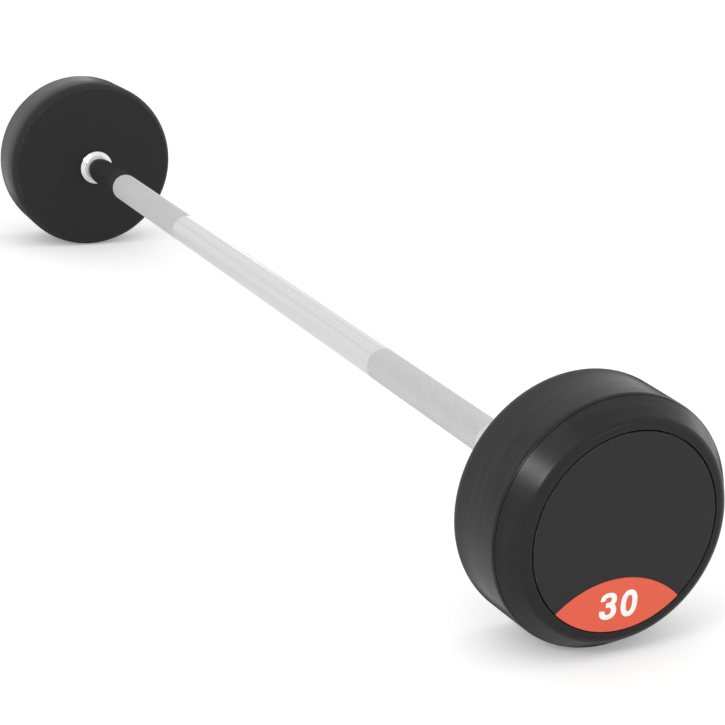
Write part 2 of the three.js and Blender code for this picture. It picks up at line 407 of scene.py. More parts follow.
@cache
def polish_group() -> bpy.types.NodeTree:
    """Builds the long faint streaks of a bar that was polished along its length.

    Returns:
        A group that gives the streaks, from zero to one.
    """
    canvas, given, end = new_pattern("polishing_streaks", "Vector", "Streak Width, Streak Length", "Streaks")
    parts = canvas.split(given["Vector"])
    along = canvas.math("DIVIDE", parts["X"], given["Streak Length"])
    across = [canvas.math("DIVIDE", parts[axis], given["Streak Width"]) for axis in "YZ"]
    drawn = canvas.vector(X=along, Y=across[0], Z=across[1])
    canvas.feed(end["Streaks"], canvas.noise(drawn, detail=4.0))
    return canvas.tree


@dataclass(frozen=True)
class Finish:
    """What every finish has: a name, a colour, a roughness and the size of its grain."""

    name: str
    colour: Colour
    roughness: float
    grain_size: float = 0.0004
    grain_height: float = 0.00001
    fleck_size: float = 0.02
    fleck_share: float = 0.1
    roughness_share: float = 0.15
    metallic: float = 0.0
    specular_level: float = 0.5
    glance_roughness: float = 0.0
    dust: float = 0.0
    edge_colour: Colour = (0.1, 0.1, 0.1)
    edge_amount: float = 0.0
    scuffs: float = 0.0
    smudges: float = 0.0

    @cache
    def material(self) -> bpy.types.Material:
        """Builds the material.

        Returns:
            The material, built once for each finish.
        """
        made = bpy.data.materials.new(self.name)
        made.use_nodes = True
        made.node_tree.nodes.clear()
        canvas = Canvas(made.node_tree)
        fixed = {"Metallic": self.metallic, "Specular IOR Level": self.specular_level}
        shader = canvas.add("ShaderNodeBsdfPrincipled", fixed)
        output = canvas.add("ShaderNodeOutputMaterial", {"Surface": shader.outputs[0]})
        output.is_active_output = True
        place = canvas.place()
        sizes = {"Grain Size": self.grain_size, "Fleck Size": self.fleck_size}
        grain = canvas.group(grain_group(), {"Vector": place, **sizes})
        colour = self.tint(canvas, grain["Fleck"])
        bounds = [self.roughness * (1 + sign * self.roughness_share) for sign in (-1, 1)]
        colour, rough = self.wear(canvas, place, colour, canvas.between(grain["Fleck"], *bounds))
        if self.glance_roughness:
            rough = canvas.math("ADD", rough, self.glance(canvas), clamp=True)
        canvas.feed(shader.inputs["Base Color"], colour)
        canvas.feed(shader.inputs["Roughness"], rough)
        height = self.relief(canvas, place, grain["Height"])
        bump = canvas.add("ShaderNodeBump", {"Height": height, "Distance": 1.0, "Strength": 1.0})
        canvas.feed(shader.inputs["Normal"], bump.outputs[0])
        return made

    def tint(self, canvas: Canvas, fleck: Socket) -> Socket:
        """Varies the colour slightly with the fleck, a mask from zero to one."""
        return canvas.waver(fleck, self.colour, self.fleck_share)

    def glance(self, canvas: Canvas) -> Socket:
        """What the bloom on rubber adds to the roughness where the surface turns away."""
        facing = canvas.add("ShaderNodeLayerWeight", {"Blend": 0.5}).outputs["Facing"]
        return canvas.ease(facing, *TURNED_AWAY, top=self.glance_roughness)

    def wear(self, canvas: Canvas, place: Socket, colour: Socket, rough: Socket) -> tuple[Socket, Socket]:
        """Adds edge wear, with a painted highlight where it lies on the rubber's rear crease, and scuffs,
        smudges and dust, where the finish has them.

        Args:
            canvas: The material's tree.
            place: The point's place.
            colour: The colour so far.
            rough: The roughness so far.

        Returns:
            The colour and the roughness with the wear on them.
        """
        # Edge wear: real rubbing, and on the rubber's rear crease a painted highlight line
        if self.edge_amount:
            edge = canvas.add("ShaderNodeAttribute", attribute_name=EDGE_ATTRIBUTE).outputs["Fac"]
            values = {"Vector": place, "Edge": edge, "Patch Size": WEAR_AND_HIGHLIGHT_PATCH, "Amount": self.edge_amount}
            rubbed_and_highlit = canvas.group(rubbed_edge_and_highlight_group(), values)["Mask"]
            colour = canvas.blend(rubbed_and_highlit, colour, self.edge_colour)
        if self.scuffs:
            sizes = {"Mark Width": SCUFF_WIDTH, "Patch Size": SCUFF_PATCH}
            marks = canvas.group(scuff_group(), {"Vector": place, **sizes, "Amount": self.scuffs})["Mask"]
            colour = canvas.blend(marks, colour, self.edge_colour)
        surface = {"Vector": place, "Normal": canvas.add("ShaderNodeNewGeometry").outputs["Normal"]}
        if self.smudges:
            values = {**surface, "Width": SMUDGE_WIDTH, "Length": SMUDGE_LENGTH, "Amount": self.smudges}
            handled = canvas.group(smudge_group(), values)["Mask"]
            colour = canvas.blend(handled, colour, self.edge_colour)
            rough = canvas.math("ADD", rough, canvas.product(handled, SMUDGE_DULLING))
        if self.dust:
            values = {**surface, "Cloud Size": DUST_CLOUD, "Amount": self.dust}
            film = canvas.group(dust_group(), values)["Mask"]
            colour = canvas.blend(film, colour, DUST_COLOUR)
            rough = canvas.math("ADD", rough, film, clamp=True)
        return colour, rough

    def relief(self, canvas: Canvas, place: Socket, grain: Socket) -> Socket:
        """The surface's height in metres, from its grain's height from zero to one."""
        return canvas.product(grain, self.grain_height)


@dataclass(frozen=True)
class CasingFinish(Finish):
    """Moulded rubber whose gloss gives way to a dull skin at a head's rolled rear edge."""

    gloss_end: float = 0.582
    dull_start: float = 0.551
    dull_roughness: float = 0.26
    dull_colour: Colour = (0.0165, 0.0165, 0.0165)

    def dullness(self, canvas: Canvas) -> Socket:
        """A mask that is one on the dull skin, by the distance from the middle of the bar."""
        along = canvas.math("ABSOLUTE", canvas.split(canvas.place())["X"])
        return canvas.ease(along, self.gloss_end, self.dull_start)

    def tint(self, canvas: Canvas, fleck: Socket) -> Socket:
        """Makes the dull skin a little paler than the rest, which varies with the fleck."""
        return canvas.blend(self.dullness(canvas), super().tint(canvas, fleck), self.dull_colour)

    def glance(self, canvas: Canvas) -> Socket:
        """Adds the dull skin of the rear edge to what the turning away does to the roughness."""
        dull = canvas.product(self.dullness(canvas), self.dull_roughness)
        return canvas.math("ADD", super().glance(canvas), dull)


@dataclass(frozen=True)
class TurnedFinish(Finish):
    """Steel from a lathe, with fine rings round its axis."""

    ring_pitch: float = 0.00012
    ring_height: float = 0.000003

    def relief(self, canvas: Canvas, place: Socket, grain: Socket) -> Socket:
        """Adds the rings to the grain."""
        rings = canvas.group(turning_group(), {"Vector": place, "Pitch": self.ring_pitch})["Height"]
        turned = canvas.product(rings, self.ring_height)
        return canvas.math("ADD", turned, canvas.product(grain, self.grain_height))


@dataclass(frozen=True)
class PolishedFinish(Finish):
    """Chrome plate on a bar that was polished along its length."""

    streak_width: float = 0.0012
    streak_length: float = 0.09
    streak_height: float = 0.000004
    streak_share: float = 0.05

    def streaks(self, canvas: Canvas) -> Socket:
        """The polishing streaks, from zero to one."""
        sizes = {"Streak Width": self.streak_width, "Streak Length": self.streak_length}
        return canvas.group(polish_group(), {"Vector": canvas.place(), **sizes})["Streaks"]

    def tint(self, canvas: Canvas, fleck: Socket) -> Socket:
        """Lets the streaks show faintly in the colour, in place of the fleck."""
        return canvas.waver(self.streaks(canvas), self.colour, self.streak_share)

    def relief(self, canvas: Canvas, place: Socket, grain: Socket) -> Socket:
        """Adds the streaks to the grain."""
        lines = canvas.product(self.streaks(canvas), self.streak_height)
        return canvas.math("ADD", lines, canvas.product(grain, self.grain_height))


RUBBER = CasingFinish(
    name="moulded_rubber",
    colour=(0.0124, 0.0124, 0.0124),
    roughness=0.26,
    grain_size=0.0009,
    grain_height=0.000005,
    fleck_size=0.03,
    roughness_share=0.16,
    specular_level=0.22,
    glance_roughness=0.65,
    dust=0.004,
    # Paler edge colour: real wear on rubbed edges, and on the rear crease a painted highlight line
    edge_colour=(0.07, 0.07, 0.07),
    edge_amount=0.5,
    scuffs=0.05,
    smudges=0.2,
)
COVER = Finish(
    name="matt_cover_rubber",
    colour=(0.0182, 0.0182, 0.0182),
    roughness=0.55,
    grain_size=0.0005,
    grain_height=0.00001,
    fleck_size=0.03,
    fleck_share=0.14,
    specular_level=0.24,
    edge_colour=(0.08, 0.08, 0.08),
    edge_amount=1.0,
)
LABEL = Finish(
    name="orange_red_label",
    colour=(0.77, 0.111, 0.056),
    roughness=0.42,
    grain_size=0.0003,
    grain_height=0.000004,
    fleck_size=0.012,
    fleck_share=0.04,
    specular_level=0.35,
    edge_colour=(0.9, 0.3, 0.22),
    edge_amount=0.6,
)
DIGITS = Finish(
    name="white_digit_enamel",
    colour=(0.94, 0.94, 0.93),
    roughness=0.4,
    grain_size=0.0003,
    grain_height=0.000003,
    fleck_share=0.03,
    specular_level=0.35,
)
CHROME = PolishedFinish(
    name="polished_chrome",
    colour=(0.705, 0.705, 0.707),
    roughness=0.17,
    grain_size=0.0006,
    grain_height=0.0000005,
    metallic=1.0,
)
KNURL = Finish(
    name="knurled_chrome",
    colour=(0.625, 0.625, 0.627),
    roughness=0.6,
    grain_size=0.0002,
    grain_height=0.000004,
    fleck_share=0.05,
    metallic=1.0,
)
COLLAR_CHROME = TurnedFinish(
    name="collar_chrome",
    colour=(0.82, 0.82, 0.822),
    roughness=0.06,
    grain_size=0.0006,
    grain_height=0.0000005,
    metallic=1.0,
    ring_height=0.0000004,
)
CAST_IRON = Finish(
    name="cast_iron_skin",
    colour=(0.075, 0.072, 0.069),
    roughness=0.72,
    grain_size=0.0012,
    grain_height=0.00022,
    fleck_size=0.018,
    fleck_share=0.3,
    metallic=0.6,
    edge_colour=(0.22, 0.21, 0.2),
    edge_amount=0.7,
)
TURNED_STEEL = TurnedFinish(
    name="bright_turned_steel",
    colour=(0.5, 0.51, 0.53),
    roughness=0.32,
    metallic=1.0,
    edge_colour=(0.75, 0.76, 0.78),
    edge_amount=0.6,
)
ZINC = TurnedFinish(
    name="zinc_plated_steel",
    colour=(0.6, 0.63, 0.68),
    roughness=0.38,
    metallic=1.0,
    fleck_size=0.004,
    fleck_share=0.12,
    edge_colour=(0.8, 0.82, 0.86),
    edge_amount=0.5,
)
BLACK_OXIDE = TurnedFinish(
    name="black_oxide_steel",
    colour=(0.03, 0.031, 0.034),
    roughness=0.42,
    metallic=0.8,
    edge_colour=(0.25, 0.25, 0.27),
    edge_amount=0.7,
)


@dataclass(frozen=True)
class Corner:
    """One corner of a turned profile, with the radius that rounds it and how worn it is where it is crisp; on
    the rubber's rear crease that wear also paints a highlight.
    """

    depth: float
    radius: float
    fillet: float = 0.0
    steps: int = 6
    # Edge wear where the corner is crisp; on the rubber's rear crease it also paints a highlight line
    wear: float = 0.3

    @property
    def point(self) -> Vector:
        """The corner as a point of depth and radius."""
        return Vector((self.depth, self.radius))


def fillet_points(before: Vector, corner: Corner, after: Vector) -> list[Vector]:
    """Rounds one corner of a profile.

    Args:
        before: The point before the corner.
        corner: The corner.
        after: The point after it.

    Returns:
        The points of the round, with one more just beyond each of its ends, which keeps the flat next to it
        looking flat. A corner with no fillet gives its own point alone.
    """
    if not corner.fillet:
        return [corner.point]
    back = (before - corner.point).normalized()
    ahead = (after - corner.point).normalized()
    half = back.angle(ahead) / 2
    centre = corner.point + (back + ahead).normalized() * (corner.fillet / math.sin(half))
    reach = corner.fillet / math.tan(half)
    start = corner.point + back * reach - centre
    end = corner.point + ahead * reach - centre
    turn = start.angle_signed(end)
    points = [corner.point + back * (reach + HOLD_DISTANCE)]
    for step in range(corner.steps + 1):
        spoke = Matrix.Rotation(-turn * step / corner.steps, 2) @ start
        points.append(centre + spoke)
    points.append(corner.point + ahead * (reach + HOLD_DISTANCE))
    return points


@dataclass
class Profile:
    """The section of a turned piece: corners in order, closed on themselves unless they are left open."""

    corners: Sequence[Corner]
    closed: bool = True

    def points(self) -> tuple[list[Point2], list[float]]:
        """Rounds the corners.

        Returns:
            The section's points as depth and radius, and for each point how much it lies on an edge.
        """
        places = [corner.point for corner in self.corners]
        points: list[Point2] = []
        edges: list[float] = []
        last = len(places) - 1
        for index, corner in enumerate(self.corners):
            if not self.closed and index in (0, last):
                rounded = [corner.point]
            else:
                rounded = fillet_points(places[index - 1], corner, places[(index + 1) % len(places)])
            points += [(point.x, point.y) for point in rounded]
            crisp = 0.0 < corner.fillet <= CRISP_FILLET
            edges += [corner.wear if crisp else 0.0] * len(rounded)
        return points, edges


def refine(
    points: list[Point2], edges: list[float], step: float = WEAR_AND_HIGHLIGHT_FADE
) -> tuple[list[Point2], list[float]]:
    """Splits the long straight runs of a profile, so that edge wear, and the painted highlight on the
    rubber's rear crease, fade out close to the edges.

    Args:
        points: The profile's points.
        edges: How much each point lies on an edge.
        step: The distance from an edge at which its wear has gone.

    Returns:
        The points and edge values with the new ones between them.
    """
    new_points: list[Point2] = []
    new_edges: list[float] = []
    for index, (point, edge) in enumerate(zip(points, edges)):
        new_points.append(point)
        new_edges.append(edge)
        following = points[(index + 1) % len(points)]
        run = Vector(following) - Vector(point)
        if index == len(points) - 1 or run.length < 3 * step:
            continue
        for share in (step / run.length, 1 - step / run.length):
            middle = Vector(point) + run * share
            new_points.append((middle.x, middle.y))
            new_edges.append(0.0)
    return new_points, new_edges


@dataclass
class Seat:
    """Where a piece sits along the bar: the place of depth zero, and the direction in which it faces."""

    face: float
    outward: int

    def along(self, depth: float) -> float:
        """The place along X of a depth."""
        return self.face - self.outward * depth

    def place(self, across: float, height: float, depth: float) -> Vector:
        """Turns a point on a head's face into a place.

        Args:
            across: To the right, seen from outside.
            height: Upwards.
            depth: Inwards from the outer face.

        Returns:
            The place.
        """
        return Vector((self.along(depth), self.outward * across, height))


def finish_mesh(mesh: bpy.types.Mesh) -> bpy.types.Mesh:
    """Closes, turns outwards and smooths a new mesh.

    Args:
        mesh: The mesh.

    Returns:
        The same mesh.
    """
    work = bmesh.new()
    work.from_mesh(mesh)
    bmesh.ops.remove_doubles(work, verts=work.verts, dist=MERGE_DISTANCE)
    bmesh.ops.recalc_face_normals(work, faces=work.faces)
    work.to_mesh(mesh)
    work.free()
    mesh.shade_smooth()
    mesh.set_sharp_from_angle(angle=SMOOTH_ANGLE)
    return mesh


def turn(name: str, profile: Profile, seat: Seat, segments: int) -> bpy.types.Mesh:
    """Turns a profile round the bar's axis.

    Args:
        name: The mesh's name.
        profile: The section.
        seat: Where the piece sits.
        segments: How many sides the round has.

    Returns:
        The closed mesh, with an edge attribute.
    """
    points, edges = refine(*profile.points())
    spokes = [2 * math.pi * index / segments for index in range(segments)]
    vertices: list[Vector] = []
    for depth, radius in points:
        x = seat.along(depth)
        vertices += [Vector((x, radius * math.cos(spoke), radius * math.sin(spoke))) for spoke in spokes]
    rows = len(points)
    last = rows if profile.closed else rows - 1
    faces = []
    for row in range(last):
        here, there = row * segments, ((row + 1) % rows) * segments
        for index in range(segments):
            following = (index + 1) % segments
            faces.append((here + index, here + following, there + following, there + index))
    mesh = bpy.data.meshes.new(name)
    mesh.from_pydata(vertices, [], faces)
    attribute = mesh.attributes.new(EDGE_ATTRIBUTE, "FLOAT", "POINT")
    attribute.data.foreach_set("value", [edge for edge in edges for _ in spokes])
    return finish_mesh(mesh)


def link(name: str, mesh: bpy.types.Mesh) -> bpy.types.Object:
    """Puts a mesh into the scene.

    Args:
        name: The object's name.
        mesh: Its mesh, already in place.

    Returns:
        The object.
    """
    mesh.name = name
    made = bpy.data.objects.new(name, mesh)
    bpy.context.scene.collection.objects.link(made)
    return made


def evaluated(source: bpy.types.Object, name: str) -> bpy.types.Mesh:
    """Takes an object's mesh as its modifiers leave it, and removes the object.

    Args:
        source: The object with its modifiers.
        name: The new mesh's name.

    Returns:
        The plain mesh.
    """
    bpy.context.view_layer.update()
    graph = bpy.context.evaluated_depsgraph_get()
    final = source.evaluated_get(graph)
    mesh = bpy.data.meshes.new_from_object(final, preserve_all_data_layers=True, depsgraph=graph)
    mesh.name = name
    source.modifiers.clear()
    bpy.data.objects.remove(source)
    return mesh


def carved(base: bpy.types.Mesh, cutter: bpy.types.Mesh, name: str) -> bpy.types.Mesh:
    """Cuts one closed mesh out of another.

    Args:
        base: The mesh that is cut.
        cutter: The mesh that is taken away.
        name: The new mesh's name.

    Returns:
        What is left.
    """
    body = link(f"{name}_blank", base)
    tool = link(f"{name}_cutter", cutter)
    modifier = body.modifiers.new("cut", "BOOLEAN")
    modifier.operation = "DIFFERENCE"
    modifier.solver = "EXACT"
    modifier.object = tool
    mesh = evaluated(body, name)
    bpy.data.objects.remove(tool)
    return mesh


def dress(made: bpy.types.Object, slot: str, *nodes: str, finish: Finish | None = None) -> None:
    """Gives a finished piece its finish and its place in the frame.

    Args:
        made: The piece.
        slot: The name of a material slot; it is not used.
        *nodes: The CAD nodes that the piece stands for.
        finish: Its material, unless the mesh has its own.
    """
    if finish is not None:
        made.data.materials.clear()
        made.data.materials.append(finish.material())
    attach(made, ROOT)
    if nodes:
        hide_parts(*nodes)
    made.data.calc_loop_triangles()
    log.info("%s: %d triangles, %s", made.name, len(made.data.loop_triangles), closedness(made.data))


def closedness(mesh: bpy.types.Mesh) -> str:
    """Says whether a mesh is closed.

    Args:
        mesh: The mesh.

    Returns:
        The words that are logged.
    """
    work = bmesh.new()
    work.from_mesh(mesh)
    open_edges = sum(1 for edge in work.edges if not edge.is_manifold)
    work.free()
    return "closed" if not open_edges else f"{open_edges} open edges"


@dataclass
class FlatOutline:
    """A flat shape on a head's face, filled between closed loops of points."""

    loops: Sequence[Sequence[Point2]]
    seat: Seat
    front: float
    thickness: float
    bevel: float

    def mesh(self, name: str) -> bpy.types.Mesh:
        """Fills and thickens the shape.

        Args:
            name: The mesh's name.

        Returns:
            The closed mesh, in place.
        """
        curve = bpy.data.curves.new(name, "CURVE")
        curve.dimensions = "2D"
        curve.fill_mode = "BOTH"
        curve.extrude = self.thickness / 2 - self.bevel
        curve.bevel_depth = self.bevel
        curve.bevel_resolution = 1
        curve.offset = -self.bevel
        for loop in self.loops:
            spline = curve.splines.new("POLY")
            spline.use_cyclic_u = True
            spline.points.add(len(loop) - 1)
            spline.points.foreach_set("co", [part for x, y in loop for part in (x, y, 0.0, 1.0)])
        source = bpy.data.objects.new(name, curve)
        bpy.context.scene.collection.objects.link(source)
        mesh = evaluated(source, name)
        bpy.data.curves.remove(curve)
        for vertex in mesh.vertices:
            across, height, lift = vertex.co
            vertex.co = self.seat.place(across, height, self.front + self.thickness / 2 - lift)
        return finish_mesh(mesh)


def knurl_sleeve_tree() -> bpy.types.NodeTree:
    """Builds the knurling of one grip as a pattern of diamonds wrapped round the bar.

    Returns:
        A geometry group that gives the grip's open sleeve, with the knurl attribute set on its faces.
    """
    inputs = {"Start": "Float", "Half Length": "Float", **KNURL_INPUTS}
    canvas, given, end = new_group("knurl_sleeve", GEOMETRY_TREE, inputs, {"Geometry": "Geometry"})
    around = canvas.product(given["Floor Radius"], 2 * math.pi)
    width = canvas.math("DIVIDE", around, given["Columns"])
    half_width = canvas.math("DIVIDE", width, 2.0)
    size = canvas.vector(X=given["Half Length"], Y=half_width, Z=1.0)
    rhombus = canvas.add("GeometryNodeMeshCircle", {"Vertices": 4, "Radius": 1.0}, fill_type="NGON")
    base = canvas.add("GeometryNodeTransform", {"Geometry": rhombus.outputs[0], "Scale": size}).outputs[0]
    push = {"Offset": canvas.vector(Z=1.0), "Offset Scale": given["Crest Height"], "Individual": False}
    raised = canvas.add("GeometryNodeExtrudeMesh", {"Mesh": base, **push}, mode="FACES").outputs
    crest = {"Geometry": raised["Mesh"], "Selection": raised["Top"], "Scale": given["Crest Share"]}
    diamond = canvas.add("GeometryNodeScaleElements", crest, domain="FACE").outputs[0]
    joined = canvas.add("GeometryNodeJoinGeometry")
    diamonds = lay_tiles(canvas, given, width, diamond, rows=given["Rows"], first_row=1.0, shift=0.0)
    canvas.tree.links.new(diamonds, joined.inputs[0])
    for at_end in (False, True):
        tile = half_tile(canvas, base, at_end)
        first_row = canvas.math("ADD", given["Rows"], 1.0) if at_end else 0.0
        fringe = lay_tiles(canvas, given, width, tile, rows=1, first_row=first_row, shift=0.5)
        canvas.tree.links.new(fringe, joined.inputs[0])
    values = {"Geometry": wrap(canvas, given, joined.outputs[0]), "Name": KNURL_ATTRIBUTE, "Value": True}
    marked = canvas.add("GeometryNodeStoreNamedAttribute", values, data_type="BOOLEAN", domain="FACE")
    canvas.feed(end["Geometry"], marked.outputs[0])
    return canvas.tree


def position_parts(canvas: Canvas) -> Outputs:
    """The parts X, Y and Z of each point's place in a geometry tree."""
    return canvas.split(canvas.add("GeometryNodeInputPosition").outputs[0])


def moved(canvas: Canvas, shape: Socket, place: Socket) -> Socket:
    """A shape with its points moved to other places."""
    return canvas.add("GeometryNodeSetPosition", {"Geometry": shape, "Position": place}).outputs[0]


def half_tile(canvas: Canvas, rhombus: Socket, at_end: bool) -> Socket:
    """Folds a flat rhombus onto one half, to fill the notches at an end of the grip.

    Args:
        canvas: The sleeve's tree.
        rhombus: The flat rhombus, with its long diagonal along X.
        at_end: Whether the half points back from the grip's far end.

    Returns:
        The half tile's socket.
    """
    parts = position_parts(canvas)
    kept = canvas.math("MINIMUM" if at_end else "MAXIMUM", parts["X"], 0.0)
    return moved(canvas, rhombus, canvas.vector(X=kept, Y=parts["Y"]))


def lay_tiles(
    canvas: Canvas,
    given: Outputs,
    width: Socket,
    tile: Socket,
    rows: NodeInput,
    first_row: NodeInput,
    shift: float,
) -> Socket:
    """Lays copies of a tile in staggered rows on the flat.

    Args:
        canvas: The sleeve's tree.
        given: The sleeve's inputs.
        width: A tile's width.
        tile: The tile.
        rows: How many rows there are.
        first_row: The first row's place, in half lengths from the grip's start.
        shift: How far the first row is shifted across, in widths.

    Returns:
        The socket of the tiles as one mesh.
    """
    points = canvas.add("GeometryNodePoints", {"Count": canvas.product(rows, given["Columns"])}).outputs[0]
    index = canvas.add("GeometryNodeInputIndex").outputs[0]
    row = canvas.math("FLOOR", canvas.math("DIVIDE", canvas.math("ADD", index, 0.5), given["Columns"]))
    column = canvas.math("SUBTRACT", index, canvas.product(row, given["Columns"]))
    stagger = canvas.product(canvas.math("MODULO", row, 2.0), 0.5)
    across = canvas.math("ADD", canvas.math("ADD", column, stagger), shift)
    along = canvas.product(canvas.math("ADD", row, first_row), given["Half Length"])
    place = canvas.vector(X=canvas.math("ADD", along, given["Start"]), Y=canvas.product(across, width))
    spots = moved(canvas, points, place)
    copies = canvas.add("GeometryNodeInstanceOnPoints", {"Points": spots, "Instance": tile})
    return canvas.add("GeometryNodeRealizeInstances", {"Geometry": copies.outputs[0]}).outputs[0]


def wrap(canvas: Canvas, given: Outputs, flat: Socket) -> Socket:
    """Wraps a flat pattern round the bar's axis.

    Args:
        canvas: The sleeve's tree.
        given: The sleeve's inputs.
        flat: The pattern, with X along the bar, Y round it and Z outwards.

    Returns:
        The wrapped pattern's socket.
    """
    parts = position_parts(canvas)
    angle = canvas.math("DIVIDE", parts["Y"], given["Floor Radius"])
    radius = canvas.math("ADD", parts["Z"], given["Floor Radius"])
    across, upwards = (canvas.product(radius, canvas.math(part, angle)) for part in ("SINE", "COSINE"))
    return moved(canvas, flat, canvas.vector(X=parts["X"], Y=across, Z=upwards))


def knurled_bar_tree() -> bpy.types.NodeTree:
    """Builds the tree that closes the gaps in a turned bar with two knurled grips.

    Returns:
        The modifier's tree.
    """
    lengths = {"Grip Start": "Float", "Grip Length": "Float", "Weld Distance": "Float"}
    inputs = {"Geometry": "Geometry", **lengths, **KNURL_INPUTS, "Knurl Material": "Material"}
    canvas, given, end = new_group("knurled_bar", GEOMETRY_TREE, inputs, {"Geometry": "Geometry"})
    canvas.tree.is_modifier = True
    sleeve = knurl_sleeve_tree()
    half_length = canvas.math("DIVIDE", given["Grip Length"], canvas.math("ADD", given["Rows"], 1.0))
    reach = canvas.math("ADD", given["Grip Start"], given["Grip Length"])
    joined = canvas.add("GeometryNodeJoinGeometry")
    for place in (given["Grip Start"], canvas.product(reach, -1.0)):
        shared = {name: given[name] for name in KNURL_INPUTS}
        grip = canvas.group(sleeve, {"Start": place, "Half Length": half_length, **shared})
        canvas.tree.links.new(grip[0], joined.inputs[0])
    canvas.tree.links.new(given["Geometry"], joined.inputs[0])
    weld = {"Geometry": joined.outputs[0], "Distance": given["Weld Distance"]}
    welded = canvas.add("GeometryNodeMergeByDistance", weld)
    real = canvas.add("GeometryNodeRealizeInstances", {"Geometry": welded.outputs[0]})
    knurled = canvas.add("GeometryNodeInputNamedAttribute", {"Name": KNURL_ATTRIBUTE}, data_type="BOOLEAN")
    paint = {"Selection": knurled.outputs[0], "Material": given["Knurl Material"]}
    painted = canvas.add("GeometryNodeSetMaterial", {"Geometry": real.outputs[0], **paint})
    canvas.feed(end["Geometry"], painted.outputs[0])
    return canvas.tree


def grow(blank: bpy.types.Object, tree: bpy.types.NodeTree, values: Inputs) -> bpy.types.Mesh:
    """Runs a geometry tree on an object and takes the result.

    Args:
        blank: The object that the tree starts from.
        tree: The tree.
        values: The tree's inputs by name.

    Returns:
        The result as a plain mesh. The object is removed.
    """
    modifier = blank.modifiers.new(tree.name, "NODES")
    modifier.node_group = tree
    identifiers = {item.name: item.identifier for item in tree.interface.items_tree if item.in_out == "INPUT"}
    for name, value in values.items():
        modifier[identifiers[name]] = value
    return evaluated(blank, blank.name)


@dataclass
class Bar:
    """The steel bar: a smooth centre, two knurled grips, plain stretches and a keyed end in each head."""

    radius: float = 0.015
    centre_length: float = 0.474
    grip_length: float = 0.195
    knurl_rise: float = 0.0002
    knurl_depth: float = 0.0004
    crest_share: float = 0.36
    columns: int = 60
    rows: int = 143
    grip_chamfer: float = 0.00012
    end_radius: float = 0.0125
    end_chamfer: float = 0.001
    bore_radius: float = 0.0063
    bore_depth: float = 0.034
    shoulder: float = 0.551
    key_gap: float = 0.0003
    edge_fillet: float = 0.0003
    weld_distance: float = 0.00001

    def build(self) -> None:
        """Turns the bar, knurls its grips and cuts its keyways."""
        blank = link("knurled_bar", self.blank())
        blank.data.materials.append(CHROME.material())
        mesh = grow(
            blank,
            knurled_bar_tree(),
            {
                "Grip Start": self.grip_start,
                "Grip Length": self.grip_length,
                "Columns": self.columns,
                "Rows": self.rows,
                "Floor Radius": self.floor_radius,
                "Crest Height": self.knurl_depth,
                "Crest Share": self.crest_share,
                "Weld Distance": self.weld_distance,
                "Knurl Material": KNURL.material(),
            },
        )
        for side in Side:
            mesh = carved(mesh, self.keyway(side), "knurled_bar")
        mesh.shade_smooth()
        mesh.set_sharp_from_angle(angle=SMOOTH_ANGLE)
        dress(link("knurled_bar", mesh), "chrome", "bar")

    def keyway(self, side: Side) -> bpy.types.Mesh:
        """Shapes the round-ended block that cuts a head's keyway.

        Args:
            side: The head's side.

        Returns:
            The closed block, a little larger than the key and higher than the bar's end.
        """
        low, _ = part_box(f"{side.word}_drive_key")
        levels = [(low.z - self.key_gap, self.key_gap), (self.radius, self.key_gap)]
        return swept(f"{side.word}_keyway", key_rings(side, levels))

    @property
    def grip_start(self) -> float:
        """The place along X where the right grip starts."""
        return self.centre_length / 2

    @property
    def floor_radius(self) -> float:
        """The radius of the grooves' crossings."""
        return self.radius + self.knurl_rise - self.knurl_depth

    def blank(self) -> bpy.types.Mesh:
        """Turns the bar without its grips, open where they go.

        Returns:
            The mesh.
        """
        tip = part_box("bar")[1].x
        grip_end = self.grip_start + self.grip_length
        centre = [
            Corner(-self.grip_start, self.floor_radius),
            Corner(-self.grip_start + self.grip_chamfer, self.radius),
            Corner(self.grip_start - self.grip_chamfer, self.radius),
            Corner(self.grip_start, self.floor_radius),
        ]
        end = [
            Corner(grip_end, self.floor_radius),
            Corner(grip_end + self.grip_chamfer, self.radius),
            Corner(self.shoulder, self.radius, self.edge_fillet, COARSE_ROUND),
            Corner(self.shoulder, self.end_radius, self.edge_fillet, COARSE_ROUND),
            Corner(tip - self.end_chamfer, self.end_radius),
            Corner(tip, self.end_radius - self.end_chamfer),
            Corner(tip, self.bore_radius, self.edge_fillet, COARSE_ROUND),
            Corner(tip - self.bore_depth, self.bore_radius),
            Corner(tip - self.bore_depth - self.bore_radius / math.sqrt(3), 0.0),
        ]
        segments = 2 * self.columns
        parts = [
            turn("bar_centre", Profile(centre, closed=False), Seat(0.0, -1), segments),
            turn("bar_right_end", Profile(end, closed=False), Seat(0.0, -1), segments),
            turn("bar_left_end", Profile(end, closed=False), Seat(0.0, 1), segments),
        ]
        work = bmesh.new()
        for part in parts:
            work.from_mesh(part)
        mesh = bpy.data.meshes.new("bar_blank")
        work.to_mesh(mesh)
        work.free()
        return mesh


@dataclass
class Collar:
    """The chromed ring on the bar that closes a head's inner face, with a long slope down to the bar."""

    side: Side
    bore: float = 0.0151
    radius: float = 0.020
    slope_depth: float = 0.0033
    fillet: float = 0.0002
    segments: int = 160

    def build(self) -> None:
        """Turns the collar."""
        node = f"{self.side.word}_collar"
        low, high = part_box(node)
        inner, outer = sorted((low.x, high.x), key=abs)
        length = abs(outer - inner)
        corners = [
            Corner(length, self.bore, self.fillet, COARSE_ROUND),
            Corner(length - self.slope_depth, self.radius, self.fillet, COARSE_ROUND),
            Corner(0.0, self.radius, self.fillet, COARSE_ROUND),
            Corner(0.0, self.bore, self.fillet, COARSE_ROUND),
        ]
        mesh = turn(f"{node}_ring", Profile(corners), Seat(outer, self.side.outward), self.segments)
        dress(link(f"{node}_ring", mesh), "chrome", node, finish=COLLAR_CHROME)


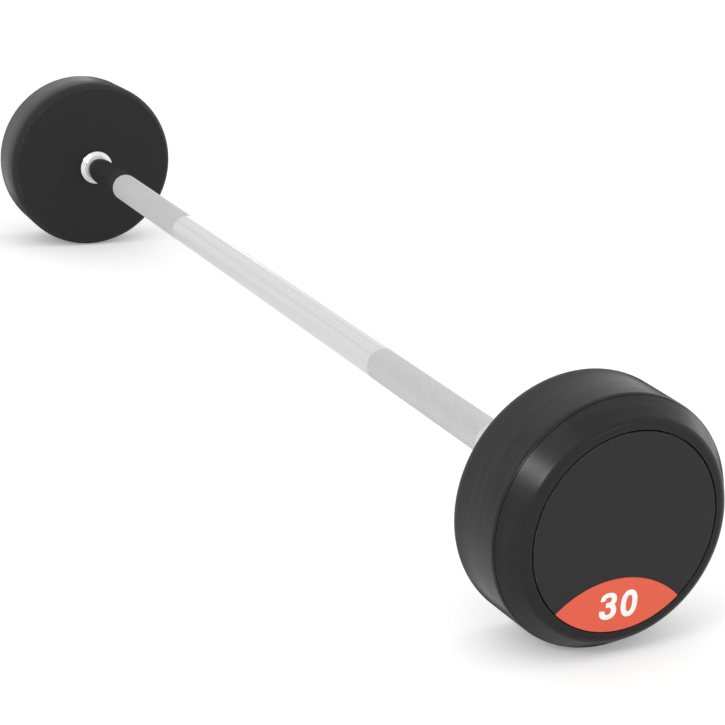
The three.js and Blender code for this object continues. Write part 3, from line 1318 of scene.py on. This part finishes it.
@dataclass
class RubberCasing:
    """The rubber round a weight, with a bevelled outer rim, a rolled rear edge and a recess for the cover."""

    seat: Seat
    side: Side
    side_draft: float = 0.001
    bevel_inner_radius: float = 0.086
    bevel_depth: float = 0.020
    bevel_softening: float = 0.008
    rim_fillet: float = 0.005
    parting_start: float = 0.0018
    parting_width: float = 0.0006
    parting_depth: float = 0.0005
    roll_drop: float = 0.005
    roll_depth: float = 0.011
    crease_fillet: float = 0.0009
    # Edge wear is set high on the rear crease: real wear, and its paler edge colour also paints the bright
    # highlight line that a lamp makes along the crease
    crease_wear_and_highlight: float = 1.0
    recess_radius: float = 0.0787
    recess_depth: float = 0.0053
    lip_fillet: float = 0.0002
    ledge_radius: float = 0.0583
    cavity_radius: float = 0.0883
    cavity_front: float = 0.0113
    cavity_rear: float = 0.074
    bore: float = 0.0153
    bore_fillet: float = 0.0006
    segments: int = 256
    rim_steps: int = 8
    crease_steps: int = 5
    roll_steps: int = 14
    bevel_steps: int = 14

    def build(self) -> None:
        """Turns the casing."""
        node = f"{self.side.word}_rubber_shell"
        name = f"{self.side.word}_rubber_casing"
        mesh = turn(name, Profile(self.corners(node)), self.seat, self.segments)
        dress(link(name, mesh), "rubber", node, finish=RUBBER)

    def corners(self, node: str) -> list[Corner]:
        """Lays out the casing's section.

        Args:
            node: The CAD node that gives the width and the diameter.

        Returns:
            The section's corners.
        """
        low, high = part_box(node)
        width = high.x - low.x
        side_radius = (high.z - low.z) / 2
        rim_radius = side_radius - self.side_draft
        return [
            Corner(width, self.bore, self.bore_fillet, FINE_ROUND),
            *self.rear_roll(width, side_radius),
            Corner(self.bevel_depth, rim_radius, self.rim_fillet, self.rim_steps),
            *self.parting_line(rim_radius),
            Corner(0.0, self.bevel_inner_radius, self.bevel_softening, self.bevel_steps),
            Corner(0.0, self.recess_radius, self.lip_fillet, FINE_ROUND),
            Corner(self.recess_depth, self.recess_radius),
            Corner(self.recess_depth, self.ledge_radius, self.lip_fillet, COARSE_ROUND),
            Corner(self.cavity_front, self.ledge_radius),
            Corner(self.cavity_front, self.cavity_radius),
            Corner(self.cavity_rear, self.cavity_radius),
            Corner(self.cavity_rear, self.bore, self.bore_fillet, COARSE_ROUND),
        ]

    def parting_line(self, rim_radius: float) -> list[Corner]:
        """Cuts the fine line where the mould parts, just inside the bevel's outer edge.

        Args:
            rim_radius: The radius of the bevel's outer edge.

        Returns:
            The line's three corners, from the rim inwards.
        """
        rim = Vector((self.bevel_depth, rim_radius))
        along = (Vector((0.0, self.bevel_inner_radius)) - rim).normalized()
        inwards = Vector((-along.y, along.x))
        corners = []
        for share, sunk in ((0.0, 0.0), (0.5, self.parting_depth), (1.0, 0.0)):
            point = rim + along * (self.parting_start + self.parting_width * share) + inwards * sunk
            corners.append(Corner(point.x, point.y))
        return corners

    def rear_roll(self, width: float, side_radius: float) -> list[Corner]:
        """Rolls the rear edge over from the side to a crease in the inner face.

        Args:
            width: The head's width.
            side_radius: The radius of the side where the roll starts.

        Returns:
            The roll's points from the crease outwards.
        """
        angle = 2 * math.atan(self.roll_drop / self.roll_depth)
        roll_radius = self.roll_depth / math.sin(angle)
        crease_radius = side_radius - self.roll_drop
        # The crease corner carries real edge wear plus a painted highlight line
        corners = [Corner(width, crease_radius, self.crease_fillet, self.crease_steps, self.crease_wear_and_highlight)]
        for step in range(self.roll_steps - 1, -1, -1):
            turned = angle * step / self.roll_steps
            depth = width - self.roll_depth + roll_radius * math.sin(turned)
            corners.append(Corner(depth, side_radius - roll_radius * (1 - math.cos(turned))))
        return corners


@dataclass
class Lens:
    """The label's shape: a lens between an arc about the bar's axis and one about a point below it."""

    radius: float = 0.0777
    height: float = 0.042

    def loop(self, lower: float, upper: float, steps: int) -> list[Point2]:
        """Draws the lens.

        Args:
            lower: The radius of the lower arc.
            upper: The radius of the upper arc.
            steps: How many steps each arc has.

        Returns:
            The outline's points, from one tip round to it again.
        """
        drop = 2 * self.radius - self.height
        tip_height = (upper**2 - lower**2 - drop**2) / (2 * drop)
        tip_across = math.sqrt(lower**2 - tip_height**2)
        low_tip = math.atan2(tip_height, tip_across)
        high_tip = math.atan2(tip_height + drop, tip_across)
        points = []
        for step in range(steps):
            angle = -math.pi - low_tip + (math.pi + 2 * low_tip) * step / steps
            points.append((lower * math.cos(angle), lower * math.sin(angle)))
        for step in range(steps):
            angle = high_tip + (math.pi - 2 * high_tip) * step / steps
            points.append((upper * math.cos(angle), upper * math.sin(angle) - drop))
        return points


def swept(name: str, rings: Sequence[Sequence[Vector]]) -> bpy.types.Mesh:
    """Joins rings of points in order, and closes both ends.

    Args:
        name: The mesh's name.
        rings: The rings, each with as many points as the first.

    Returns:
        The closed mesh.
    """
    count = len(rings[0])
    vertices = [point for ring in rings for point in ring]
    last = len(vertices) - count
    faces: list[tuple[int, ...]] = [tuple(range(count)), tuple(range(last, last + count))]
    for start in range(0, last, count):
        for index in range(count):
            here, following = start + index, start + (index + 1) % count
            faces.append((here, following, count + following, count + here))
    mesh = bpy.data.meshes.new(name)
    mesh.from_pydata(vertices, [], faces)
    return finish_mesh(mesh)


def key_rings(side: Side, levels: Sequence[Point2], steps: int = 12) -> list[list[Vector]]:
    """Draws round-ended loops about a head's drive key, one above the other.

    Args:
        side: The head's side.
        levels: For each loop its height, and how far it stands out from the key.
        steps: How many steps each rounded end has.

    Returns:
        The loops.
    """
    low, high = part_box(f"{side.word}_drive_key")
    middle = (low.x + high.x) / 2
    rings = []
    for height, margin in levels:
        half_width = (high.y - low.y) / 2 + margin
        half_run = (high.x - low.x) / 2 + margin - half_width
        ring = []
        for end in (1, -1):
            for step in range(steps + 1):
                angle = math.pi * (step / steps - end / 2)
                across = middle + end * half_run + half_width * math.cos(angle)
                ring.append(Vector((across, half_width * math.sin(angle), height)))
        rings.append(ring)
    return rings


def prism(name: str, loop: Sequence[Point2], seat: Seat, front: float, back: float) -> bpy.types.Mesh:
    """Thickens an outline on a head's face.

    Args:
        name: The mesh's name.
        loop: The outline.
        seat: The head's seat.
        front: The depth of its front.
        back: The depth of its back.

    Returns:
        The closed mesh.
    """
    return swept(name, [[seat.place(*point, depth) for point in loop] for depth in (front, back)])


@dataclass
class CoverPlate:
    """The flat disc in a head's outer face, with a shallow bed for the label and a ring on its back."""

    seat: Seat
    side: Side
    lens: Lens
    radius: float = 0.0775
    thickness: float = 0.005
    edge: float = 0.0003
    spigot_radius: float = 0.058
    spigot_wall: float = 0.003
    spigot_length: float = 0.005
    bed_depth: float = 0.0012
    bed_gap: float = 0.0003
    overrun: float = 0.002
    fillet: float = 0.0005
    segments: int = 256
    arc_steps: int = 96

    def build(self) -> None:
        """Turns the disc and cuts the label's bed."""
        node = f"{self.side.word}_cover_disc"
        name = f"{self.side.word}_cover_plate"
        inner = self.spigot_radius - self.spigot_wall
        back = self.thickness + self.spigot_length
        corners = [
            Corner(0.0, 0.0),
            Corner(0.0, self.radius, self.edge, FINE_ROUND),
            Corner(self.thickness, self.radius, self.edge, COARSE_ROUND),
            Corner(self.thickness, self.spigot_radius, self.fillet, COARSE_ROUND),
            Corner(back, self.spigot_radius, self.fillet, COARSE_ROUND),
            Corner(back, inner, self.fillet, COARSE_ROUND),
            Corner(self.thickness, inner, self.fillet, COARSE_ROUND),
            Corner(self.thickness, 0.0),
        ]
        disc = turn(name, Profile(corners, closed=False), self.seat, self.segments)
        loop = self.lens.loop(self.radius + self.overrun, self.lens.radius + self.bed_gap, self.arc_steps)
        bed = prism(f"{name}_bed", loop, self.seat, -self.overrun, self.bed_depth)
        mesh = finish_mesh(carved(disc, bed, name))
        dress(link(name, mesh), "cover", node, finish=COVER)


@dataclass
class NumberLabel:
    """The orange-red lens at the bottom of a cover, with the weight in white digits."""

    seat: Seat
    side: Side
    lens: Lens
    sink: float = 0.0001
    thickness: float = 0.0008
    digit_height: float = 0.0215
    digit_middle: float = -0.0568
    digit_pitch: float = 0.01805
    digit_shift: float = 0.001
    digit_thickness: float = 0.00014
    digit_proud: float = 0.00006
    digit_bevel: float = 0.00002
    slant: float = 0.02
    arc_steps: int = 96

    def build(self) -> None:
        """Makes the label and its digits."""
        word = self.side.word
        loop = self.lens.loop(self.lens.radius, self.lens.radius, self.arc_steps)
        mesh = prism(f"{word}_label_plate", loop, self.seat, self.sink, self.sink + self.thickness)
        dress(link(f"{word}_label_plate", mesh), "label", f"{word}_number_label", finish=LABEL)
        loops = self.place(three_outline(), self.digit_shift - self.digit_pitch / 2)
        loops += self.place(nought_outline(), self.digit_shift + self.digit_pitch / 2)
        front = self.sink - self.digit_proud
        outline = FlatOutline(loops, self.seat, front, self.digit_thickness, self.digit_bevel)
        name = f"{word}_label_digits"
        dress(link(name, outline.mesh(name)), "label", finish=DIGITS)

    def place(self, loops: Sequence[Sequence[Point2]], middle: float) -> list[list[Point2]]:
        """Puts a digit on the label.

        Args:
            loops: The digit's outlines, in shares of its height about its own middle.
            middle: Where its middle goes across the label.

        Returns:
            The outlines in metres.
        """
        placed = []
        for loop in loops:
            across = [middle + self.digit_height * (x + self.slant * y) for x, y in loop]
            heights = [self.digit_middle + self.digit_height * y for _, y in loop]
            placed.append(list(zip(across, heights)))
        return placed


@dataclass(frozen=True)
class Bow:
    """Part of a rounded oval in a digit's outline, in shares of the digit's height."""

    across: float
    height: float
    half_width: float
    half_height: float
    start: float = 0.0
    end: float = 345.0
    squareness: float = 2.25
    steps: int = 23

    def points(self) -> list[Point2]:
        """Draws the bow from its start to its end, both in degrees anticlockwise from the right.

        Returns:
            The points in order.
        """
        points = []
        for step in range(self.steps + 1):
            angle = math.radians(self.start + (self.end - self.start) * step / self.steps)
            parts = []
            for part in (math.cos(angle), math.sin(angle)):
                parts.append(math.copysign(abs(part) ** (2 / self.squareness), part))
            across, height = parts
            points.append((self.across + self.half_width * across, self.height + self.half_height * height))
        return points


def nought_outline() -> list[list[Point2]]:
    """Draws a bold nought in shares of its height.

    Returns:
        The outer loop and the counter.
    """
    return [Bow(0.0, 0.0, 0.332, 0.5).points(), Bow(0.0, 0.0, 0.126, 0.31).points()]


def three_outline() -> list[list[Point2]]:
    """Draws a bold three in shares of its height.

    Returns:
        Its one loop, clockwise round the outside and then back along the inside.
    """
    return [[
        (-0.326, 0.188),
        *Bow(-0.009, 0.230, 0.321, 0.266, 180.0, -40.0).points(),
        *Bow(0.002, -0.198, 0.342, 0.298, 50.0, -180.0).points(),
        (-0.340, -0.156),
        (-0.130, -0.170),
        *Bow(0.0, -0.184, 0.130, 0.135, 180.0, 450.0).points(),
        (-0.098, -0.045),
        (-0.098, 0.129),
        *Bow(-0.019, 0.230, 0.126, 0.102, -90.0, 180.0).points(),
        (-0.144, 0.212),
    ]]


def screw_thread_tree() -> bpy.types.NodeTree:
    """Builds the tree that cuts a right-handed thread into a turned shank.

    Returns:
        The modifier's tree.
    """
    lengths = dict.fromkeys(("Pitch", "Depth", "Tip", "Neck"), "Float")
    inputs = {"Geometry": "Geometry", **lengths, "Material": "Material"}
    canvas, given, end = new_group("screw_thread", GEOMETRY_TREE, inputs, {"Geometry": "Geometry"})
    canvas.tree.is_modifier = True
    parts = position_parts(canvas)
    turns = canvas.math("DIVIDE", canvas.math("ARCTAN2", parts["Z"], parts["Y"]), 2 * math.pi)
    along = canvas.math("DIVIDE", parts["X"], given["Pitch"])
    phase = canvas.math("FRACT", canvas.math("SUBTRACT", along, turns))
    flank = canvas.math("ABSOLUTE", canvas.math("SUBTRACT", canvas.product(phase, 2.0), 1.0))
    sunk = canvas.product(flank, given["Depth"])
    place = canvas.math("ABSOLUTE", parts["X"])
    for run in ((place, given["Tip"]), (given["Neck"], place)):
        fade = canvas.math("DIVIDE", canvas.math("SUBTRACT", *run), given["Pitch"], clamp=True)
        sunk = canvas.product(sunk, fade)
    share = canvas.math("SUBTRACT", 1.0, canvas.math("DIVIDE", sunk, canvas.ring_radius(parts)))
    across, upwards = (canvas.product(parts[axis], share) for axis in "YZ")
    threaded = moved(canvas, given["Geometry"], canvas.vector(X=parts["X"], Y=across, Z=upwards))
    real = canvas.add("GeometryNodeRealizeInstances", {"Geometry": threaded})
    paint = {"Geometry": real.outputs[0], "Material": given["Material"]}
    canvas.feed(end["Geometry"], canvas.add("GeometryNodeSetMaterial", paint).outputs[0])
    return canvas.tree


@dataclass
class EndScrew:
    """The cap screw that holds a head on the bar, with a hexagon socket and a thread down its shank."""

    side: Side
    head_radius: float = 0.009
    head_height: float = 0.012
    head_fillet: float = 0.0008
    neck_fillet: float = 0.0004
    shank_radius: float = 0.006
    tip_chamfer: float = 0.001
    thread_pitch: float = 0.00175
    thread_depth: float = 0.00105
    rows_per_turn: int = 7
    socket_across_flats: float = 0.010
    socket_depth: float = 0.006
    overrun: float = 0.002
    segments: int = 48
    flats: int = 6
    first_row: int = 2

    def build(self) -> None:
        """Turns the screw, cuts its thread and sinks its socket."""
        node = f"{self.side.word}_end_screw"
        name = f"{self.side.word}_threaded_screw"
        low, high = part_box(node)
        tip, face = sorted((low.x, high.x), key=abs)
        seat = Seat(face, self.side.outward)
        length = abs(face - tip)
        blank = link(name, turn(name, self.profile(length), seat, self.segments))
        values = {
            "Pitch": self.thread_pitch,
            "Depth": self.thread_depth,
            "Tip": abs(tip) + self.tip_chamfer / 2,
            "Neck": abs(face) - self.head_height - self.thread_pitch,
            "Material": BLACK_OXIDE.material(),
        }
        mesh = grow(blank, screw_thread_tree(), values)
        reach = self.socket_across_flats / math.sqrt(3)
        angles = [2 * math.pi * corner / self.flats for corner in range(self.flats)]
        hexagon = [(reach * math.cos(angle), reach * math.sin(angle)) for angle in angles]
        socket = prism(f"{name}_socket", hexagon, seat, -self.overrun, self.socket_depth)
        sunk = finish_mesh(carved(mesh, socket, name))
        dress(link(name, sunk), "black_steel", node, finish=BLACK_OXIDE)

    def profile(self, length: float) -> Profile:
        """Lays out the screw's section, with rows close enough down the shank to carry the thread.

        Args:
            length: The screw's whole length.

        Returns:
            The section.
        """
        step = self.thread_pitch / self.rows_per_turn
        shank = length - self.head_height - self.tip_chamfer
        places = [self.head_height + step * row for row in range(self.first_row, int(shank / step))]
        rows = [Corner(place, self.shank_radius) for place in places]
        return Profile(
            [
                Corner(0.0, 0.0),
                Corner(0.0, self.head_radius, self.head_fillet, FINE_ROUND),
                Corner(self.head_height, self.head_radius, self.neck_fillet, COARSE_ROUND),
                Corner(self.head_height, self.shank_radius),
                *rows,
                Corner(length - self.tip_chamfer, self.shank_radius),
                Corner(length, self.shank_radius - self.tip_chamfer),
                Corner(length, 0.0),
            ],
            closed=False,
        )


@dataclass
class SpringWasher:
    """The split washer under the screw's head, a ring of square wire that climbs a little round its split."""

    side: Side
    bore: float = 0.0065
    radius: float = 0.0105
    split: float = 0.002
    rise: float = 0.0005
    chamfer: float = 0.0003
    steps: int = 72

    def build(self) -> None:
        """Sweeps the wire round the split."""
        node = f"{self.side.word}_lock_washer"
        name = f"{self.side.word}_spring_washer"
        low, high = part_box(node)
        inner = min(low.x, high.x, key=abs)
        seat = Seat(inner, -self.side.outward)
        wire = abs(high.x - low.x) - self.rise
        half_split = math.asin(self.split / (self.bore + self.radius))
        rings = []
        for step in range(self.steps + 1):
            share = step / self.steps
            angle = half_split + 2 * (math.pi - half_split) * share
            rings.append([
                seat.place(radius * math.cos(angle), radius * math.sin(angle), depth + self.rise * share)
                for depth, radius in self.section(wire)
            ])
        dress(link(name, swept(name, rings)), "zinc_steel", node, finish=ZINC)

    def section(self, wire: float) -> list[Point2]:
        """Draws the wire's section with its corners taken off.

        Args:
            wire: The wire's thickness along the bar.

        Returns:
            The section's points as depth and radius.
        """
        inner, outer, off = self.bore, self.radius, self.chamfer
        return [
            (off, inner),
            (0.0, inner + off),
            (0.0, outer - off),
            (off, outer),
            (wire - off, outer),
            (wire, outer - off),
            (wire, inner + off),
            (wire - off, inner),
        ]


@dataclass
class HubPart:
    """A bored, turned part inside a head, with its length and its outside taken from its CAD node."""

    side: Side
    node: str
    name: str
    slot: str
    finish: Finish
    bore: float
    edge: float
    bore_edge: float = 0.0004
    counterbore: Point2 | None = None
    key_gap: float | None = None
    overrun: float = 0.001
    segments: int = 128

    def build(self) -> None:
        """Turns the part, and broaches its keyway where it has one."""
        node = f"{self.side.word}_{self.node}"
        name = f"{self.side.word}_{self.name}"
        low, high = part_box(node)
        inner, outer = sorted((low.x, high.x), key=abs)
        length = abs(outer - inner)
        radius = (high.z - low.z) / 2
        front = [Corner(0.0, self.bore, self.bore_edge, COARSE_ROUND)]
        if self.counterbore is not None:
            depth, wide = self.counterbore
            front = [
                Corner(0.0, wide, self.bore_edge, COARSE_ROUND),
                Corner(depth, wide),
                Corner(depth, self.bore, self.bore_edge, COARSE_ROUND),
            ]
        corners = [
            Corner(length, self.bore, self.bore_edge, COARSE_ROUND),
            Corner(length, radius, self.edge, FINE_ROUND),
            Corner(0.0, radius, self.edge, FINE_ROUND),
            *front,
        ]
        mesh = turn(name, Profile(corners), Seat(outer, self.side.outward), self.segments)
        if self.key_gap is not None:
            mesh = finish_mesh(carved(mesh, self.keyway(self.key_gap, low.x, high.x), name))
        dress(link(name, mesh), self.slot, node, finish=self.finish)

    def keyway(self, gap: float, start: float, end: float) -> bpy.types.Mesh:
        """Shapes the block that a broach takes out of the bore.

        Args:
            gap: The clearance round the key.
            start: The place along X where the part starts.
            end: The place along X where it ends.

        Returns:
            The closed block.
        """
        low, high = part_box(f"{self.side.word}_drive_key")
        near, far, top = low.y - gap, high.y + gap, high.z + gap
        section = [(near, 0.0), (far, 0.0), (far, top), (near, top)]
        places = (start - self.overrun, end + self.overrun)
        return swept(f"{self.side.word}_broach", [[Vector((x, y, z)) for y, z in section] for x in places])


@dataclass
class HubKey:
    """The round-ended key between the bar and the bushing."""

    side: Side
    chamfer: float = 0.0004

    def build(self) -> None:
        """Shapes the key."""
        node = f"{self.side.word}_drive_key"
        name = f"{self.side.word}_hub_key"
        low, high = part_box(node)
        levels = [
            (low.z, -self.chamfer),
            (low.z + self.chamfer, 0.0),
            (high.z - self.chamfer, 0.0),
            (high.z, -self.chamfer),
        ]
        mesh = swept(name, key_rings(self.side, levels))
        dress(link(name, mesh), "turned_steel", node, finish=TURNED_STEEL)


@dataclass
class Head:
    """One complete head with its collar."""

    side: Side

    def build(self) -> None:
        """Builds every piece of the head, from its outside to its hub."""
        low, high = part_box(f"{self.side.word}_rubber_shell")
        seat = Seat(high.x if self.side is Side.RIGHT else low.x, self.side.outward)
        lens = Lens()
        Collar(self.side).build()
        RubberCasing(seat, self.side).build()
        CoverPlate(seat, self.side, lens).build()
        NumberLabel(seat, self.side, lens).build()
        EndScrew(self.side).build()
        SpringWasher(self.side).build()
        HubKey(self.side).build()
        for part in (
            HubPart(
                self.side, "end_washer", "clamp_washer", "zinc_steel", ZINC,
                bore=0.0065, edge=0.0006,
            ),
            HubPart(
                self.side, "hub_bushing", "keyed_bushing", "turned_steel", TURNED_STEEL,
                bore=0.0128, edge=0.0008, key_gap=0.0003,
            ),
            HubPart(
                self.side, "weight_core", "iron_weight", "cast_iron", CAST_IRON,
                bore=0.0203, edge=0.003, bore_edge=0.001, counterbore=(0.0173, 0.024),
            ),
        ):
            part.build()


@dataclass
class SoftBox:
    """A rectangular studio lamp that points at the barbell."""

    name: str
    azimuth: float
    elevation: float
    distance: float
    width: float
    height: float
    radiance: float
    aim_x: float = 0.0

    def hang(self) -> None:
        """Puts the lamp in its place. Its power follows from its size and how bright its face is."""
        lamp = bpy.data.lights.new(self.name, "AREA")
        lamp.shape = "RECTANGLE"
        lamp.size = self.width
        lamp.size_y = self.height
        lamp.energy = self.radiance * math.pi * self.width * self.height
        made = bpy.data.objects.new(self.name, lamp)
        bpy.context.scene.collection.objects.link(made)
        away = towards(self.azimuth, self.elevation)
        made.location = Vector((self.aim_x, 0.0, 0.0)) + away * self.distance
        made.rotation_mode = "QUATERNION"
        made.rotation_quaternion = away.to_track_quat("Z", "Y")
        made.visible_camera = False


def towards(heading: float, elevation: float) -> Vector:
    """A direction from its heading and its elevation in degrees."""
    around, rise = math.radians(heading), math.radians(elevation)
    return Vector((math.cos(around) * math.cos(rise), math.sin(around) * math.cos(rise), math.sin(rise)))


def sum_of_rays(canvas: Canvas, *kinds: str) -> Socket:
    """One for rays of two named kinds, and zero for the rest."""
    path = canvas.add("ShaderNodeLightPath").outputs
    return canvas.math("ADD", *[path[f"Is {kind} Ray"] for kind in kinds], clamp=True)


@dataclass
class Studio:
    """A pale floor, the lamps, and a soft white surround.

    The surround lights the barbell with a dark band low on one side. The camera and shiny things see it
    white, but for the dim gap between two long panels overhead.
    """

    floor_height: float
    floor_size: float = 60.0
    floor_colour: Colour = (0.8, 0.8, 0.8)
    floor_front: float = -0.9
    floor_lift: float = 0.24
    mirrored_lift: float = 0.05
    ambient: float = 0.95
    zenith: float = 1.2
    sky_start: float = 0.58
    sky_end: float = 0.9
    gap_height: float = 0.79
    gap_width: float = 0.05
    gap_depth: float = 0.12
    band_light: float = 0.04
    band_top: float = 0.4
    band_fade: float = 0.16
    band_heading: float = -85.0
    band_edge: float = 0.66
    band_core: float = 0.84

    def build(self) -> None:
        """Lays the floor, sets the surrounding light and hangs the lamps."""
        self.lay_floor()
        self.surround()
        for lamp in (
            SoftBox("key_lamp", -65.5, 32.5, distance=2.2, width=0.62, height=0.46, radiance=15.0, aim_x=0.6),
            SoftBox("top_panel", -66.0, 56.0, distance=2.6, width=1.6, height=1.2, radiance=0.6, aim_x=0.6),
            SoftBox("front_lamp", 18.0, 9.0, distance=3.2, width=0.5, height=0.35, radiance=3.0),
            SoftBox("side_lamp", 109.0, 8.0, distance=2.5, width=1.0, height=0.6, radiance=1.35),
            SoftBox("rear_lamp", 155.0, 6.0, distance=3.0, width=0.7, height=0.5, radiance=2.2, aim_x=-0.6),
        ):
            lamp.hang()

    def lift(self, canvas: Canvas) -> Socket:
        """Lifts the floor to white for the camera, and for rays off or through shiny things.

        Args:
            canvas: The floor material's tree.

        Returns:
            The strength of the glow that is added, which is zero for the light that falls on the barbell.
        """
        seen = canvas.product(canvas.add("ShaderNodeLightPath").outputs["Is Camera Ray"], self.floor_lift)
        shiny = canvas.product(sum_of_rays(canvas, "Glossy", "Transmission"), self.mirrored_lift)
        return canvas.math("ADD", seen, shiny)

    def lay_floor(self) -> None:
        """Lays the floor under the heads. It shows white, and keeps the barbell's shadow."""
        half = self.floor_size / 2
        front = self.floor_front
        corners = [(-half, front), (half, front), (half, half), (-half, half)]
        mesh = bpy.data.meshes.new("studio_floor")
        mesh.from_pydata([(x, y, self.floor_height) for x, y in corners], [], [(0, 1, 2, 3)])
        material = bpy.data.materials.new("studio_floor")
        material.use_nodes = True
        material.node_tree.nodes.clear()
        canvas = Canvas(material.node_tree)
        paint = canvas.add("ShaderNodeBsdfDiffuse", {"Color": (*self.floor_colour, 1.0)})
        glow = canvas.add("ShaderNodeEmission", {"Color": WHITE, "Strength": self.lift(canvas)})
        both = canvas.add("ShaderNodeAddShader", {0: paint.outputs[0], 1: glow.outputs[0]})
        canvas.add("ShaderNodeOutputMaterial", {"Surface": both.outputs[0]})
        floor = link("studio_floor", mesh)
        floor.data.materials.append(material)

    def surround(self) -> None:
        """Sets the surrounding light, and what the camera and shiny things see of it."""
        world = bpy.data.worlds.new("studio_surround")
        bpy.context.scene.world = world
        world.use_nodes = True
        world.node_tree.nodes.clear()
        canvas = Canvas(world.node_tree)
        parts = canvas.split(canvas.add("ShaderNodeTexCoord").outputs["Generated"])
        heading = math.radians(self.band_heading)
        along = canvas.product(parts["X"], math.cos(heading))
        across = canvas.product(parts["Y"], math.sin(heading))
        facing = canvas.ease(canvas.math("ADD", along, across), self.band_edge, self.band_core)
        low = canvas.ease(parts["Z"], self.band_top, self.band_top - self.band_fade)
        sky = canvas.ease(parts["Z"], self.sky_start, self.sky_end, self.ambient, self.zenith)
        seam = self.seam(canvas, parts)
        shade = canvas.between(canvas.product(facing, low), canvas.product(sky, seam), self.band_light)
        camera = canvas.add("ShaderNodeLightPath").outputs["Is Camera Ray"]
        seen = canvas.math("ADD", camera, sum_of_rays(canvas, "Glossy", "Transmission"), clamp=True)
        strength = canvas.add("ShaderNodeMix", {0: seen, 2: shade, 3: seam}, data_type="FLOAT").outputs[0]
        background = canvas.add("ShaderNodeBackground", {"Color": WHITE, "Strength": strength})
        canvas.add("ShaderNodeOutputWorld", {"Surface": background.outputs[0]})

    def seam(self, canvas: Canvas, parts: Outputs) -> Socket:
        """Dims the narrow gap between two long soft panels that hang along the bar.

        Args:
            canvas: The world's tree.
            parts: The direction's parts.

        Returns:
            The share of the light that is left, which is one outside the gap.
        """
        height = canvas.math("DIVIDE", parts["Z"], canvas.ring_radius(parts))
        inside = canvas.math("COMPARE", height, self.gap_height, self.gap_width)
        return canvas.math("SUBTRACT", 1.0, canvas.product(inside, self.gap_depth))


@dataclass
class Viewpoint:
    """The camera, placed as the photograph was taken."""

    aim: tuple[float, float, float] = (0.20949, -0.00492, -0.00694)
    distance: float = 1.73081
    heading: float = 152.271
    elevation: float = 18.282
    roll: float = 4.2031
    lens: float = 95.674
    sensor: float = 36.0

    def place(self) -> None:
        """Makes the camera the scene's camera."""
        data = bpy.data.cameras.new("viewpoint")
        data.lens = self.lens
        data.sensor_width = self.sensor
        data.sensor_fit = "HORIZONTAL"
        camera = bpy.data.objects.new("viewpoint", data)
        bpy.context.scene.collection.objects.link(camera)
        forward = towards(self.heading, -self.elevation)
        level = forward.to_track_quat("-Z", "Y")
        camera.location = Vector(self.aim) - forward * self.distance
        camera.rotation_mode = "QUATERNION"
        tilt = Matrix.Rotation(math.radians(self.roll), 4, "Z").to_quaternion()
        camera.rotation_quaternion = level @ tilt
        bpy.context.scene.camera = camera


def main() -> None:
    """Builds the barbell and its studio."""
    logging.basicConfig(level=logging.INFO, format="%(message)s")
    bpy.context.scene.view_settings.view_transform = "Standard"
    Viewpoint().place()
    Studio(floor_height=cad_box[0].z).build()
    Bar().build()
    for side in Side:
        Head(side).build()


if __name__ == "__main__":
    main()
